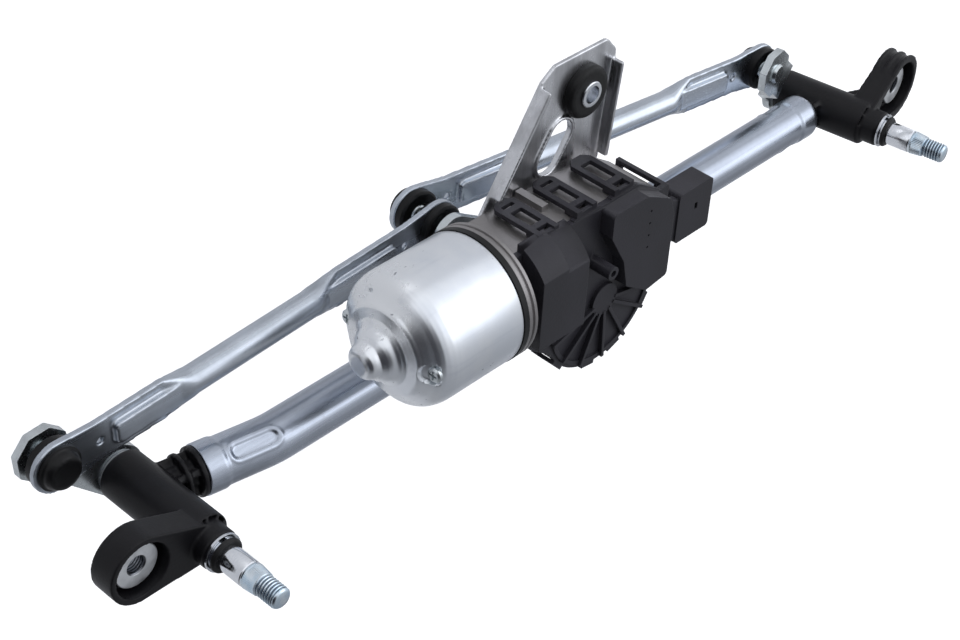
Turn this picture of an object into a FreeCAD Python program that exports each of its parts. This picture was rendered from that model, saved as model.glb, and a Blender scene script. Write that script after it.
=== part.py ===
import FreeCAD, Part
import math
import os

# Wiper linkage with its motor, in millimetres.
# Bench frame used below: X runs along the main tube, Z along the wiper spindles, Y upwards in the car.
# The tube axis is y = 0, z = 0. The finished shapes are moved so that the origin is the
# foot of the bore in the rubber-mounted centre bracket.

os.makedirs("parts", exist_ok=True)
Vec = FreeCAD.Vector
X_AXIS, Y_AXIS, Z_AXIS = Vec(1, 0, 0), Vec(0, 1, 0), Vec(0, 0, 1)

# Driving sizes
SPINDLE_D = 12.0
THREAD_D = 10.0
THREAD_PITCH = 1.5
TUBE_D = 22.0
TUBE_WALL = 1.8
ROD_D = 12.6
BALL_D = 12.0
PLATE_T = 4.0
SHEET_T = 2.2
CAN_D = 62.0

# Clearances
RUN_FIT = 0.05
SLIP_FIT = 0.1
SEAT = 0.05
OPEN_BALL_GAP = 1.2

# Places along the tube
LEFT_SPINDLE = Vec(-75, 2, 0)
RIGHT_SPINDLE = Vec(372.8, 0, 0)
RIGHT_LEAN = 8.0
TUBE_BEND_X = -10.0
TUBE_BEND = 10.0
TUBE_BEND_R = 60.0
TUBE_TAIL = 30.0
TUBE_RIGHT_X = 354.0
OUTPUT = Vec(136, 22, 0)
GEAR_OFFSET = 27.0
MOTOR_AXIS = Vec(0, OUTPUT.y + GEAR_OFFSET, 32)
BRACKET_BORE = Vec(155, 108, 0)

# Heights of the linkage planes
LEFT_BARREL_REAR = -25.0
RIGHT_BARREL_REAR = -22.0
ARM_GAP = 1.3
BARREL_FRONT = 29.0
BOSS_FRONT = 38.0
LEFT_ROD_Z = -18.0
CRANK_REAR = -9.8
RIGHT_ROD_Z = -33.0
BALL_SET = 1.5
BRACKET_REAR = TUBE_D / 2 + 0.3
BRACKET_FRONT = BRACKET_REAR + SHEET_T
BORE_FOOT = 5.6

LEFT_ARM = Vec(-35, 30.5, 0)
RIGHT_ARM = Vec(-33.5, 30.5, 0)
CRANK_BALL = Vec(99, 46.5, 0)
ORIGIN = Vec(BRACKET_BORE.x, BRACKET_BORE.y, BORE_FOOT)


def cyl(base, radius, height, axis=Z_AXIS):
    return Part.makeCylinder(radius, height, base, axis)


def tube(base, outer, inner, height, axis=Z_AXIS):
    return cyl(base, outer, height, axis).cut(cyl(base, inner, height, axis))


def box(x0, y0, z0, x1, y1, z1):
    return Part.makeBox(x1 - x0, y1 - y0, z1 - z0, Vec(x0, y0, z0))


def join(shapes):
    first = shapes[0]
    if len(shapes) > 1:
        first = first.multiFuse(shapes[1:])
    return first.removeSplitter()


def rounded_face(points, radius, z):
    """Face at height z whose outline has each corner of the point list rounded."""
    pts = [Vec(p[0], p[1], z) for p in points]
    radii = [p[2] if len(p) > 2 else radius for p in points]
    count = len(pts)
    edges, ends = [], []
    for i in range(count):
        back = (pts[i - 1] - pts[i]).normalize()
        ahead = (pts[(i + 1) % count] - pts[i]).normalize()
        half = back.getAngle(ahead) / 2
        reach = radii[i] / math.tan(half)
        middle = (back + ahead).normalize() * (radii[i] / math.sin(half) - radii[i])
        ends.append((pts[i] + back * reach, pts[i] + middle, pts[i] + ahead * reach))
    for i in range(count):
        start, middle, end = ends[i]
        if radii[i] > 0:
            edges.append(Part.Arc(start, middle, end).toShape())
        following = ends[(i + 1) % count][0]
        if end.distanceToPoint(following) > 1e-6:
            edges.append(Part.makeLine(end, following))
    return Part.Face(Part.Wire(edges))


def slab(points, radius, z0, z1):
    return rounded_face(points, radius, z0).extrude(Vec(0, 0, z1 - z0))


def rounded_box(x0, y0, z0, x1, y1, z1, radius):
    return slab([(x0, y0), (x1, y0), (x1, y1), (x0, y1)], radius, z0, z1)


def strap(p, rp, q, rq, z0, z1):
    """Plate whose outline is the common tangent wrap of two circles."""
    p, q = Vec(p.x, p.y, z0), Vec(q.x, q.y, z0)
    along = math.atan2(q.y - p.y, q.x - p.x)
    spread = math.acos((rp - rq) / p.distanceToPoint(q))

    def at(centre, radius, angle):
        return centre + Vec(radius * math.cos(angle), radius * math.sin(angle), 0)

    p1, p2 = at(p, rp, along + spread), at(p, rp, along - spread)
    q1, q2 = at(q, rq, along + spread), at(q, rq, along - spread)
    edges = [Part.Arc(p1, at(p, rp, along + math.pi), p2).toShape(), Part.makeLine(p2, q2),
             Part.Arc(q2, at(q, rq, along), q1).toShape(), Part.makeLine(q1, p1)]
    return Part.Face(Part.Wire(edges)).extrude(Vec(0, 0, z1 - z0))


def turned(profile, base=Vec(0, 0, 0), axis=Z_AXIS):
    """Solid of revolution. The profile lists (radius, height) corners, height along the axis."""
    wire = Part.makePolygon([Vec(r, 0, h) for r, h in profile + [profile[0]]])
    shape = Part.Face(wire).revolve(Vec(0, 0, 0), Z_AXIS, 360)
    shape.Placement = FreeCAD.Placement(base, FreeCAD.Rotation(Z_AXIS, axis))
    return shape


def spin(shape, angle, centre=Vec(0, 0, 0), axis=Z_AXIS):
    copy = shape.copy()
    copy.rotate(centre, axis, angle)
    return copy


def moved(shape, offset):
    copy = shape.copy()
    copy.translate(offset)
    return copy


# The right pivot leans outwards about Y. Its parts are drawn upright and placed by this.
LEAN = FreeCAD.Placement(RIGHT_SPINDLE, FreeCAD.Rotation(Y_AXIS, RIGHT_LEAN))


def at_left(shape):
    """Mirror a pivot part drawn for the right side and put it on the left spindle."""
    return moved(shape.mirror(Vec(0, 0, 0), X_AXIS), LEFT_SPINDLE)


def at_right(shape):
    copy = shape.copy()
    copy.Placement = LEAN.multiply(copy.Placement)
    return copy


nodes = {}

# Main tube: bent at its left end, with a bead and two crimp pockets at each end
bend_centre = Vec(TUBE_BEND_X, 0, -TUBE_BEND_R)


def bend_point(angle):
    turn = math.radians(angle)
    return bend_centre + Vec(-math.sin(turn), 0, math.cos(turn)) * TUBE_BEND_R


TAIL_DIR = Vec(-math.cos(math.radians(TUBE_BEND)), 0, -math.sin(math.radians(TUBE_BEND)))
TUBE_RIGHT_END = Vec(TUBE_RIGHT_X, 0, 0)
TUBE_LEFT_END = bend_point(TUBE_BEND) + TAIL_DIR * TUBE_TAIL
tube_path = Part.Wire([
    Part.makeLine(TUBE_RIGHT_END, Vec(TUBE_BEND_X, 0, 0)),
    Part.Arc(Vec(TUBE_BEND_X, 0, 0), bend_point(TUBE_BEND / 2), bend_point(TUBE_BEND)).toShape(),
    Part.makeLine(bend_point(TUBE_BEND), TUBE_LEFT_END)])


def along_tube(radius):
    ring = Part.Wire(Part.makeCircle(radius, TUBE_RIGHT_END, X_AXIS))
    return tube_path.makePipeShell([ring], True, True)


BEAD = 0.7
BEAD_LENGTH = 8.0


def bead(end, inward):
    r = TUBE_D / 2
    return turned([(r - 1, 0), (r + BEAD, 0), (r + BEAD, BEAD_LENGTH), (r, BEAD_LENGTH + 3),
                   (r - 1, BEAD_LENGTH + 3)], end, inward)


CRIMP_DEPTH = 1.2
CRIMP_TURN = 40.0


def crimp(end, inward, start, length, width, corner):
    """Two opposite pockets pressed into the tube wall, long side along the tube."""
    half = length / 2
    flat = rounded_box(-half, -width / 2, 0, half, width / 2, 6, corner)
    cutters = []
    for turn in (CRIMP_TURN, CRIMP_TURN + 180):
        one = moved(flat, Vec(0, 0, TUBE_D / 2 - CRIMP_DEPTH))
        one.rotate(Vec(0, 0, 0), X_AXIS, turn - 90)
        cutters.append(one)
    pair = Part.makeCompound(cutters)
    pair.Placement = FreeCAD.Placement(end + inward * (start + half),
                                       FreeCAD.Rotation(X_AXIS, inward)).multiply(pair.Placement)
    return pair


CORE_STUB_R = 6.0
DOME_LENGTH = 5.0


def spun_end():
    """Dome that closes the right end onto the stub of its housing, a quarter ellipse in side view."""
    outer, inner = TUBE_D / 2 + BEAD, CORE_STUB_R + 1.2
    steps = [math.radians(15 * i) for i in range(7)]
    curve = [(inner + (outer - inner) * math.cos(a), DOME_LENGTH * math.sin(a)) for a in steps]
    return turned([(0, -1)] + [(outer, -1)] + curve + [(0, DOME_LENGTH)], TUBE_RIGHT_END, X_AXIS)


tube_solid = join([along_tube(TUBE_D / 2), bead(TUBE_LEFT_END, TAIL_DIR * -1),
                   bead(TUBE_RIGHT_END, X_AXIS * -1), spun_end()])
tube_solid = tube_solid.cut(along_tube(TUBE_D / 2 - TUBE_WALL))
tube_solid = tube_solid.cut(cyl(TUBE_RIGHT_END - X_AXIS * 2, CORE_STUB_R + SEAT, 2 * DOME_LENGTH, X_AXIS))
tube_solid = tube_solid.cut(crimp(TUBE_LEFT_END, TAIL_DIR * -1, 12.5, 22, 7, 3.4))
tube_solid = tube_solid.cut(crimp(TUBE_RIGHT_END, X_AXIS * -1, 12.5, 10, 8, 1.2))
nodes["main_tube"] = tube_solid

# Stamped centre bracket, its saddle on the tube, and the rubber mount in its upper end
BORE_R = 9.5
FLANGE_H = 8.0
bracket_outline = [(92, 66), (128, 122), (136, 127.5), (170, 127.5), (176.5, 120), (170, 60), (176, 22),
                   (176, -9), (98, -9),
                   (98, 30)]
plate = slab(bracket_outline, 4, BRACKET_REAR, BRACKET_FRONT)


def edge_flange(start, end, thickness, side):
    """Upturned flange along one edge of the bracket, with a stiffening groove pressed in it."""
    run = end - start
    angle = math.degrees(math.atan2(run.y, run.x))
    low, high = (0, thickness) if side > 0 else (-thickness, 0)
    wall = box(0, low, 0, run.Length, high, FLANGE_H)
    groove_y = high if side > 0 else low
    groove = cyl(Vec(3, groove_y, FLANGE_H * 0.62), 0.7, run.Length - 6, X_AXIS)
    wall = wall.cut(groove)
    wall.Placement = FreeCAD.Placement(Vec(start.x, start.y, BRACKET_REAR), FreeCAD.Rotation(Z_AXIS, angle))
    return wall


flanges = [edge_flange(Vec(99.1, 77, 0), Vec(127.0, 120.4, 0), SHEET_T, -1),
           edge_flange(Vec(170.9, 69, 0), Vec(176.0, 116, 0), SHEET_T, 1)]
window_low, window_high = Vec(134.8, 80.2, 0), Vec(142.0, 90.8, 0)
window = strap(window_low, 7, window_high, 7, BRACKET_REAR, BRACKET_FRONT)
rolled = strap(window_low, 8.6, window_high, 8.6, BRACKET_FRONT - 0.2, BRACKET_FRONT + 1.4)
plate = join([plate, rolled] + flanges).cut(window).cut(
    strap(window_low, 7, window_high, 7, BRACKET_FRONT, BRACKET_FRONT + 3))
BOSS_R = 9.5
plate = plate.cut(cyl(Vec(OUTPUT.x, OUTPUT.y, 0), BOSS_R + 1.5, 40))
plate = plate.cut(cyl(Vec(BRACKET_BORE.x, BRACKET_BORE.y, 0), BORE_R, 40))
SCREW_R = 3.0
BRACKET_SCREWS = [Vec(106, 44, 0), Vec(164, 52, 0), Vec(165, 16, 0)]
for place in BRACKET_SCREWS:
    plate = plate.cut(cyl(place, SCREW_R + 0.2, 40))
nodes["bracket"] = plate

saddle = box(104, -10, 4, 170, 10, BRACKET_REAR).cut(cyl(Vec(90, 0, 0), TUBE_D / 2, 100, X_AXIS))
nodes["tube_saddle"] = saddle

SLEEVE_R = 6.2
SLEEVE_BORE_R = 4.2
FOOT = Vec(BRACKET_BORE.x, BRACKET_BORE.y, BORE_FOOT)
SLEEVE_H = 14.0
rubber_low, rubber_high = 1.2, SLEEVE_H - 1.0
groove_low, groove_high = BRACKET_REAR - BORE_FOOT - SEAT, BRACKET_FRONT - BORE_FOOT + SEAT
nodes["bracket_grommet"] = turned([
    (SLEEVE_R, rubber_low), (11, rubber_low), (12.6, rubber_low + 1.5), (12.6, groove_low),
    (BORE_R - SEAT, groove_low),
    (BORE_R - SEAT, groove_high), (12.6, groove_high), (12.6, rubber_high - 2.4), (11.6, rubber_high - 0.6),
    (9.6, rubber_high), (SLEEVE_R, rubber_high)], FOOT)
nodes["bracket_sleeve"] = turned([
    (SLEEVE_BORE_R, 0), (SLEEVE_R - 0.4, 0), (SLEEVE_R, 0.4), (SLEEVE_R, SLEEVE_H - 0.4),
    (SLEEVE_R - 0.4, SLEEVE_H),
    (SLEEVE_BORE_R, SLEEVE_H)], FOOT)

# Pivot housings: barrel, front boss, teardrop ear with a recess, gusset ribs and a spigot into the tube
BARREL_R = 11.6
BEARING_R = 7.4
BOSS_OUTER_R = 9.2
EAR = Vec(33, 7, 0)
LEFT_EAR_R, RIGHT_EAR_R = 15.7, 17.0
RIGHT_EAR_RIMS = (18.0, 23.6, 29.2)
EAR_REAR, EAR_FRONT = 18.0, 31.0
EAR_SEAT = 24.5
INSERT_R = 10.5
INSERT_BORE_R = 4.2
SPIGOT_R = TUBE_D / 2 - TUBE_WALL - SLIP_FIT
SPIGOT_DEEP = TUBE_TAIL - 2


def pivot_body(rear, ear_r, ear_rims):
    """Upright housing without its spigot, drawn for the right side with the ear at plus X."""
    barrel = turned([(0, rear), (BARREL_R - 1.2, rear), (BARREL_R, rear + 1.2),
                     (BARREL_R, BARREL_FRONT - 1), (BARREL_R - 1, BARREL_FRONT), (0, BARREL_FRONT)])
    boss = turned([(0, BARREL_FRONT), (BOSS_OUTER_R, BARREL_FRONT), (BOSS_OUTER_R, BOSS_FRONT - 1),
                   (BOSS_OUTER_R - 1, BOSS_FRONT), (0, BOSS_FRONT)])
    ear = strap(Vec(0, 0, 0), BOSS_OUTER_R, EAR, ear_r, EAR_REAR, EAR_FRONT)
    rims = [tube(Vec(EAR.x, EAR.y, z), ear_r + 1.2, ear_r - 1, 1.8) for z in ear_rims]
    ribs = []
    for turn in (-14, 16):
        rib = slab([(0, -1), (0, 1), (22, 1), (22, -1)], 0, 7, EAR_REAR + 0.5)
        slope = Part.Face(Part.makePolygon([Vec(11.8, -3, 6), Vec(23, -3, 6), Vec(23, -3, 17),
                                            Vec(11.8, -3, 6)]))
        rib = rib.cut(slope.extrude(Vec(0, 6, 0)))
        ribs.append(spin(rib, turn))
    body = join([barrel, boss, ear] + rims + ribs)
    recess = cyl(Vec(EAR.x, EAR.y, 22.5), ear_r - 2.9, EAR_FRONT)
    if ear_rims:
        recess = strap(Vec(17.5, 3.7, 0), 8.5, EAR, ear_r - 2.8, 22.5, EAR_FRONT + 1)
    hub = cyl(Vec(EAR.x, EAR.y, 22.5), INSERT_R + 0.8, EAR_SEAT - 22.5)
    body = body.cut(recess.cut(hub))
    for turn in (78, 112, 146):
        pocket = spin(box(BOSS_OUTER_R + 0.1, -2.5, BARREL_FRONT - 7, BARREL_R - 0.9, 2.5,
                          BARREL_FRONT + 1), turn)
        body = body.cut(pocket)
    return body


def spigot(end, outward, axis_point, dome):
    """Plug in the tube end, a stub through the end and crossed webs to the barrel, in bench place."""
    reach = axis_point.distanceToPoint(end)
    plug = tube(end - outward * SPIGOT_DEEP, SPIGOT_R, SPIGOT_R - 2.6, SPIGOT_DEEP - SEAT, outward)
    back = cyl(end - outward * 3, SPIGOT_R, 3 - SEAT, outward)
    stub = cyl(end - outward * 2, CORE_STUB_R, reach + 2, outward)
    free = dome + SEAT
    webs = []
    for turn in (0, 90):
        web = box(free, -1.4, -9.6, reach, 1.4, 9.6)
        web.rotate(Vec(0, 0, 0), X_AXIS, turn + CRIMP_TURN)
        web.Placement = FreeCAD.Placement(end, FreeCAD.Rotation(X_AXIS, outward)).multiply(web.Placement)
        webs.append(web)
    pieces = [plug, back, stub] + webs
    if dome == 0:
        pieces.append(cyl(end + outward * SEAT, TUBE_D / 2 + 0.4, 2.6, outward))
        pieces.append(tube(end + outward * 7, 10.6, 5.5, 2.2, outward))
    return pieces


def bearing_bore():
    return cyl(Vec(0, 0, -30), BEARING_R + SLIP_FIT / 2, 80)


def side_window():
    return rounded_box(-5.5, -22, -15, 9.5, -7.2, 9, 2)


def ear_bore():
    return cyl(Vec(EAR.x, EAR.y, EAR_REAR - 4), INSERT_BORE_R + 2.8, 30)


for side, place, end, outward, dome, rear, ear_r, rims in (
        ("left", at_left, TUBE_LEFT_END, TAIL_DIR, 0, LEFT_BARREL_REAR, LEFT_EAR_R, ()),
        ("right", at_right, TUBE_RIGHT_END, X_AXIS, DOME_LENGTH, RIGHT_BARREL_REAR, RIGHT_EAR_R,
         RIGHT_EAR_RIMS)):
    spindle = LEFT_SPINDLE if side == "left" else RIGHT_SPINDLE
    target = end + outward * ((spindle.x - end.x) / outward.x)
    shape = join([place(pivot_body(rear, ear_r, rims))] + spigot(end, outward, target, dome))
    for cutter in (bearing_bore(), side_window(), ear_bore()):
        shape = shape.cut(place(cutter))
    nodes[side + "_pivot_housing"] = shape

    nodes[side + "_bearing_sleeve"] = place(turned([
        (SPINDLE_D / 2 + RUN_FIT, rear), (BEARING_R - 0.5, rear), (BEARING_R, rear + 0.5),
        (BEARING_R, BOSS_FRONT), (SPINDLE_D / 2 + RUN_FIT, BOSS_FRONT)]))
    insert_top = EAR_SEAT + 2.4
    nodes[side + "_ear_insert"] = place(turned([
        (INSERT_BORE_R, EAR_REAR - 1), (INSERT_BORE_R + 2.7, EAR_REAR - 1),
        (INSERT_BORE_R + 2.7, EAR_SEAT + SEAT),
        (INSERT_R, EAR_SEAT + SEAT), (INSERT_R, insert_top - 0.4), (INSERT_R - 0.4, insert_top),
        (INSERT_BORE_R + 0.8, insert_top), (INSERT_BORE_R, insert_top - 0.8)], Vec(EAR.x, EAR.y, 0)))

# Spindles: ground shaft, tapered knurl and thread for the wiper arm, peened into the arm at the rear
SMOOTH_END = 55.0
KNURL_END = 63.5
THREAD_END = 74.0
CLIP_Z = BOSS_FRONT + 1.3
CLIP_T = 1.0
SEAL_GROOVE = 0.4
SEAL_T = 1.8
SEAL_Z = CLIP_Z + CLIP_T + 0.1
TENON_R = 5.0


def spindle_profile(arm_front):
    r, tip = SPINDLE_D / 2, THREAD_D / 2
    arm_rear = arm_front - PLATE_T
    profile = [(0, arm_rear - 1.2), (TENON_R + 1.4, arm_rear - 1.2), (TENON_R + 1.8, arm_rear - 0.05),
               (TENON_R, arm_rear - 0.05), (TENON_R, arm_front + SEAT), (r, arm_front + SEAT),
               (r, CLIP_Z - SEAT), (r - 1, CLIP_Z - SEAT), (r - 1, CLIP_Z + CLIP_T + SEAT),
               (r - SEAL_GROOVE, CLIP_Z + CLIP_T + SEAT), (r - SEAL_GROOVE, SEAL_Z + SEAL_T + 0.3),
               (r, SEAL_Z + SEAL_T + 0.3), (r, SMOOTH_END), (r - 0.35, SMOOTH_END + 0.3),
               (r, SMOOTH_END + 1.4),
               (tip + 0.35, KNURL_END - 0.8), (tip - 0.9, KNURL_END)]
    turns = int((THREAD_END - 1.2 - KNURL_END) / THREAD_PITCH)
    for i in range(turns):
        crest = KNURL_END + (i + 0.5) * THREAD_PITCH
        profile += [(tip, crest), (tip - 0.9, crest + THREAD_PITCH / 2)]
    profile += [(tip - 0.3, THREAD_END - 1.4), (tip - 0.4, THREAD_END - 1.0), (tip - 1.4, THREAD_END),
                (0, THREAD_END)]
    return profile


for side, place, rear in (("left", at_left, LEFT_BARREL_REAR), ("right", at_right, RIGHT_BARREL_REAR)):
    nodes[side + "_spindle"] = place(turned(spindle_profile(rear - ARM_GAP)))
    nodes[side + "_rear_washer"] = place(turned([
        (SPINDLE_D / 2 + 0.15, rear - ARM_GAP + 0.1), (9.6, rear - ARM_GAP + 0.1), (9.6, rear - 0.1),
        (SPINDLE_D / 2 + 0.15, rear - 0.1)]))
    nodes[side + "_front_washer"] = place(turned([
        (SPINDLE_D / 2 + 0.15, BOSS_FRONT + 0.1), (8.9, BOSS_FRONT + 0.1), (8.9, CLIP_Z - 0.1),
        (SPINDLE_D / 2 + 0.15, CLIP_Z - 0.1)]))
    clip = tube(Vec(0, 0, CLIP_Z), 7.4, SPINDLE_D / 2 - 0.9, CLIP_T)
    clip = clip.cut(box(-1.6, 0, CLIP_Z - 1, 1.6, 12, CLIP_Z + 2))
    nodes[side + "_retaining_clip"] = place(clip)
    nodes[side + "_dust_seal"] = place(turned([
        (SPINDLE_D / 2 - SEAL_GROOVE, SEAL_Z), (8.0, SEAL_Z), (8.0, SEAL_Z + SEAL_T / 2),
        (7.2, SEAL_Z + SEAL_T), (SPINDLE_D / 2 - SEAL_GROOVE, SEAL_Z + SEAL_T)]))

# Crank arms of the two spindles
BALL_R = BALL_D / 2
ROOT_R = 12.0
EYE_R = 11.6


def head_outline(centre, angle, radius):
    """Eight-sided plate end round a ball stud, flats square to the arm."""
    steps = [math.radians(angle + 22.5 + 45 * i) for i in range(8)]
    return [(centre.x + radius * math.cos(s), centre.y + radius * math.sin(s)) for s in steps]


def arm_angle(arm):
    return math.degrees(math.atan2(arm.y, arm.x))


arm_high = LEFT_BARREL_REAR - ARM_GAP
arm_low = arm_high - PLATE_T
left_ball_at = LEFT_SPINDLE + LEFT_ARM
left_arm = join([
    strap(LEFT_SPINDLE, ROOT_R, left_ball_at, EYE_R - 3, arm_low, arm_high),
    slab(head_outline(left_ball_at, arm_angle(LEFT_ARM), EYE_R + 1.2), 1.0, arm_low, arm_high)])
left_arm = left_arm.cut(cyl(LEFT_SPINDLE + Vec(0, 0, arm_low - 1), TENON_R, PLATE_T + 2))
STUD_R = 3.6
left_arm = left_arm.cut(cyl(left_ball_at + Vec(0, 0, arm_low - 1), STUD_R, PLATE_T + 2))
nodes["left_crank_arm"] = left_arm

# The right arm is joggled forwards, so that its rod runs behind the ball plate
JOGGLE = 12.0
right_len = RIGHT_ARM.Length
mid_t = PLATE_T * 0.5
root_z = RIGHT_BARREL_REAR - ARM_GAP - mid_t
head_z = root_z + JOGGLE


def joggled_strip(half_width):
    """Side view of the arm, a bent strip of constant thickness, extruded across the arm."""
    start, first, second, stop = -2.0, right_len - 30, right_len - 15.5, right_len + 2
    slope = math.atan2(head_z - root_z, second - first)
    shift = mid_t * math.tan(slope / 2)
    low = [(start, root_z - mid_t), (first + shift, root_z - mid_t), (second + shift, head_z - mid_t),
           (stop, head_z - mid_t)]
    high = [(stop, head_z + mid_t), (second - shift, head_z + mid_t), (first - shift, root_z + mid_t),
            (start, root_z + mid_t)]
    side = Part.Face(Part.makePolygon([Vec(a, -half_width, h) for a, h in low + high + [low[0]]]))
    return side.extrude(Vec(0, 2 * half_width, 0))


head = slab(head_outline(Vec(right_len, 0, 0), 0, EYE_R + 1.2), 1.0, head_z - mid_t, head_z + mid_t)
root = cyl(Vec(0, 0, root_z - mid_t), ROOT_R, PLATE_T)
right_arm = spin(join([joggled_strip(9.5), head, root]), arm_angle(RIGHT_ARM))
right_arm = right_arm.cut(cyl(Vec(0, 0, root_z - 5), TENON_R, 10))
right_arm = right_arm.cut(cyl(RIGHT_ARM + Vec(0, 0, head_z - 5), STUD_R, 10))
nodes["right_crank_arm"] = at_right(right_arm)


def ball_stud(plate_t, ball_far):
    """Stud along plus Z from the back of its plate at zero, its ball centre ball_far above the plate."""
    ball_z = plate_t + ball_far
    neck_r = 3.4
    join_z = ball_z - math.sqrt(BALL_R ** 2 - neck_r ** 2)
    stem = turned([(0, -1.6), (STUD_R + 0.9, -1.6), (STUD_R + 1.6, -0.05), (STUD_R, -0.05),
                   (STUD_R, plate_t + 0.05),
                   (6.4, plate_t + 0.05), (6.4, plate_t + 0.5), (neck_r, plate_t + 0.5),
                   (neck_r, join_z + 0.3),
                   (0, join_z + 0.3)])
    ball = Part.makeSphere(BALL_R, Vec(0, 0, ball_z))
    top = cyl(Vec(0, 0, ball_z + BALL_R - 0.8), BALL_R, 3)
    return join([stem, ball]).cut(top)


BALL_FAR = LEFT_ROD_Z - BALL_SET - arm_high
nodes["left_ball_stud"] = moved(ball_stud(PLATE_T, BALL_FAR), left_ball_at + Vec(0, 0, arm_low))
stud = ball_stud(PLATE_T, BALL_FAR).mirror(Vec(0, 0, 0), Z_AXIS)
nodes["right_ball_stud"] = at_right(moved(stud, RIGHT_ARM + Vec(0, 0, head_z + mid_t)))
RIGHT_BALL = LEAN.multVec(RIGHT_ARM + Vec(0, 0, head_z - mid_t - BALL_FAR))

# Motor crank with a stud that carries two balls, one for each rod
CRANK_T = 4.0
first_ball = Vec(CRANK_BALL.x, CRANK_BALL.y, LEFT_ROD_Z + BALL_SET)
second_ball = Vec(CRANK_BALL.x, CRANK_BALL.y, RIGHT_ROD_Z + BALL_SET)
OUT_SHAFT_R = 5.0
crank = strap(OUTPUT, 11, CRANK_BALL, 9.5, CRANK_REAR, CRANK_REAR + CRANK_T)
crank = crank.cut(cyl(Vec(OUTPUT.x, OUTPUT.y, CRANK_REAR - 1), OUT_SHAFT_R, CRANK_T + 2))
crank = crank.cut(cyl(Vec(CRANK_BALL.x, CRANK_BALL.y, CRANK_REAR - 1), STUD_R, CRANK_T + 2))
nodes["crank"] = crank
top_z = CRANK_REAR + CRANK_T
stem = turned([(0, second_ball.z), (3.4, second_ball.z), (3.4, CRANK_REAR - 0.5), (6.4, CRANK_REAR - 0.5),
               (6.4, CRANK_REAR - 0.05), (STUD_R, CRANK_REAR - 0.05), (STUD_R, top_z + 0.05),
               (STUD_R + 1.6, top_z + 0.05), (STUD_R + 0.9, top_z + 1.6), (0, top_z + 1.6)],
              Vec(CRANK_BALL.x, CRANK_BALL.y, 0))
double_stud = join([stem, Part.makeSphere(BALL_R, first_ball), Part.makeSphere(BALL_R, second_ball)])
nodes["crank_ball_stud"] = double_stud.cut(cyl(second_ball - Vec(0, 0, BALL_R + 2.2), BALL_R, 3))

# Connecting rods, pressed from round tube: flat embossed ends, a round middle and smooth transitions
ROD_R = ROD_D / 2
FLAT_T = 3.2
FLAT_HALF = 10.0
EYE_HOLE_R = 9.3
ROD_EYE_R = 12.0


def oval(at, half_width, half_height, power):
    """Closed smooth section of the rod: a superellipse that goes from round (2) to nearly square (7)."""
    points = []
    for i in range(20):
        t = 2 * math.pi * (i + 0.5) / 20
        c, s = math.cos(t), math.sin(t)
        b = half_width * math.copysign(abs(c) ** (2 / power), c)
        h = half_height * math.copysign(abs(s) ** (2 / power), s)
        points.append(Vec(at, b, h))
    curve = Part.BSplineCurve()
    curve.interpolate(points, PeriodicFlag=True)
    return Part.Wire(curve.toShape())


def pressed_end(flat):
    """One rod end from its ball at zero to the round middle, which starts 16 mm past the flat."""
    eye = strap(Vec(0, 0, 0), ROD_EYE_R, Vec(18, 0, 0), FLAT_HALF, -FLAT_T / 2, FLAT_T / 2)
    blade = box(16, -FLAT_HALF, -FLAT_T / 2, flat + 2, FLAT_HALF, FLAT_T / 2)
    sides = [oval(flat, FLAT_HALF - 0.1, FLAT_T / 2 - 0.05, 7), oval(flat + 5, 9.0, 3.0, 4.5),
             oval(flat + 11, 7.2, 5.4, 2.6), oval(flat + 16, ROD_R, ROD_R, 2)]
    swell = Part.makeLoft(sides, True, False)
    pan = rounded_box(27, -5.4, -4.3, flat + 9, 5.4, 4.3, 2.5)
    end = join([eye, blade, swell, pan])
    end = end.cut(cyl(Vec(0, 0, -5), EYE_HOLE_R, 10))
    return end.cut(cyl(Vec(20.5, 0, -5), 1.6, 10))


def connecting_rod(length, first_flat, second_flat):
    left_end = pressed_end(first_flat)
    right_end = pressed_end(second_flat).mirror(Vec(length / 2, 0, 0), X_AXIS)
    start = first_flat + 16
    middle = Part.Face(oval(start, ROD_R, ROD_R, 2)).extrude(Vec(length - second_flat - 16 - start, 0, 0))
    return left_end.fuse(middle).fuse(right_end)


def rod_frame(start, end, below=0):
    """Placement with X from start to end and its width level, sunk by the given distance."""
    run = (end - start).normalize()
    across = Z_AXIS.cross(run).normalize()
    up = run.cross(across)
    base = start - up * below
    turn = FreeCAD.Matrix(run.x, across.x, up.x, base.x, run.y, across.y, up.y, base.y,
                          run.z, across.z, up.z, base.z, 0, 0, 0, 1)
    return FreeCAD.Placement(turn)


def placed(shape, frame):
    copy = shape.copy()
    copy.Placement = frame.multiply(copy.Placement)
    return copy


left_start = left_ball_at + Vec(0, 0, LEFT_ROD_Z)
left_stop = Vec(CRANK_BALL.x, CRANK_BALL.y, LEFT_ROD_Z)
left_frame = rod_frame(left_start, left_stop)
right_frame = rod_frame(second_ball, RIGHT_BALL, BALL_SET)
left_length = left_start.distanceToPoint(left_stop)
right_length = second_ball.distanceToPoint(RIGHT_BALL)
nodes["left_rod"] = placed(connecting_rod(left_length, 52, 60), left_frame)
nodes["right_rod"] = placed(connecting_rod(right_length, 58, 54), right_frame)


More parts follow.
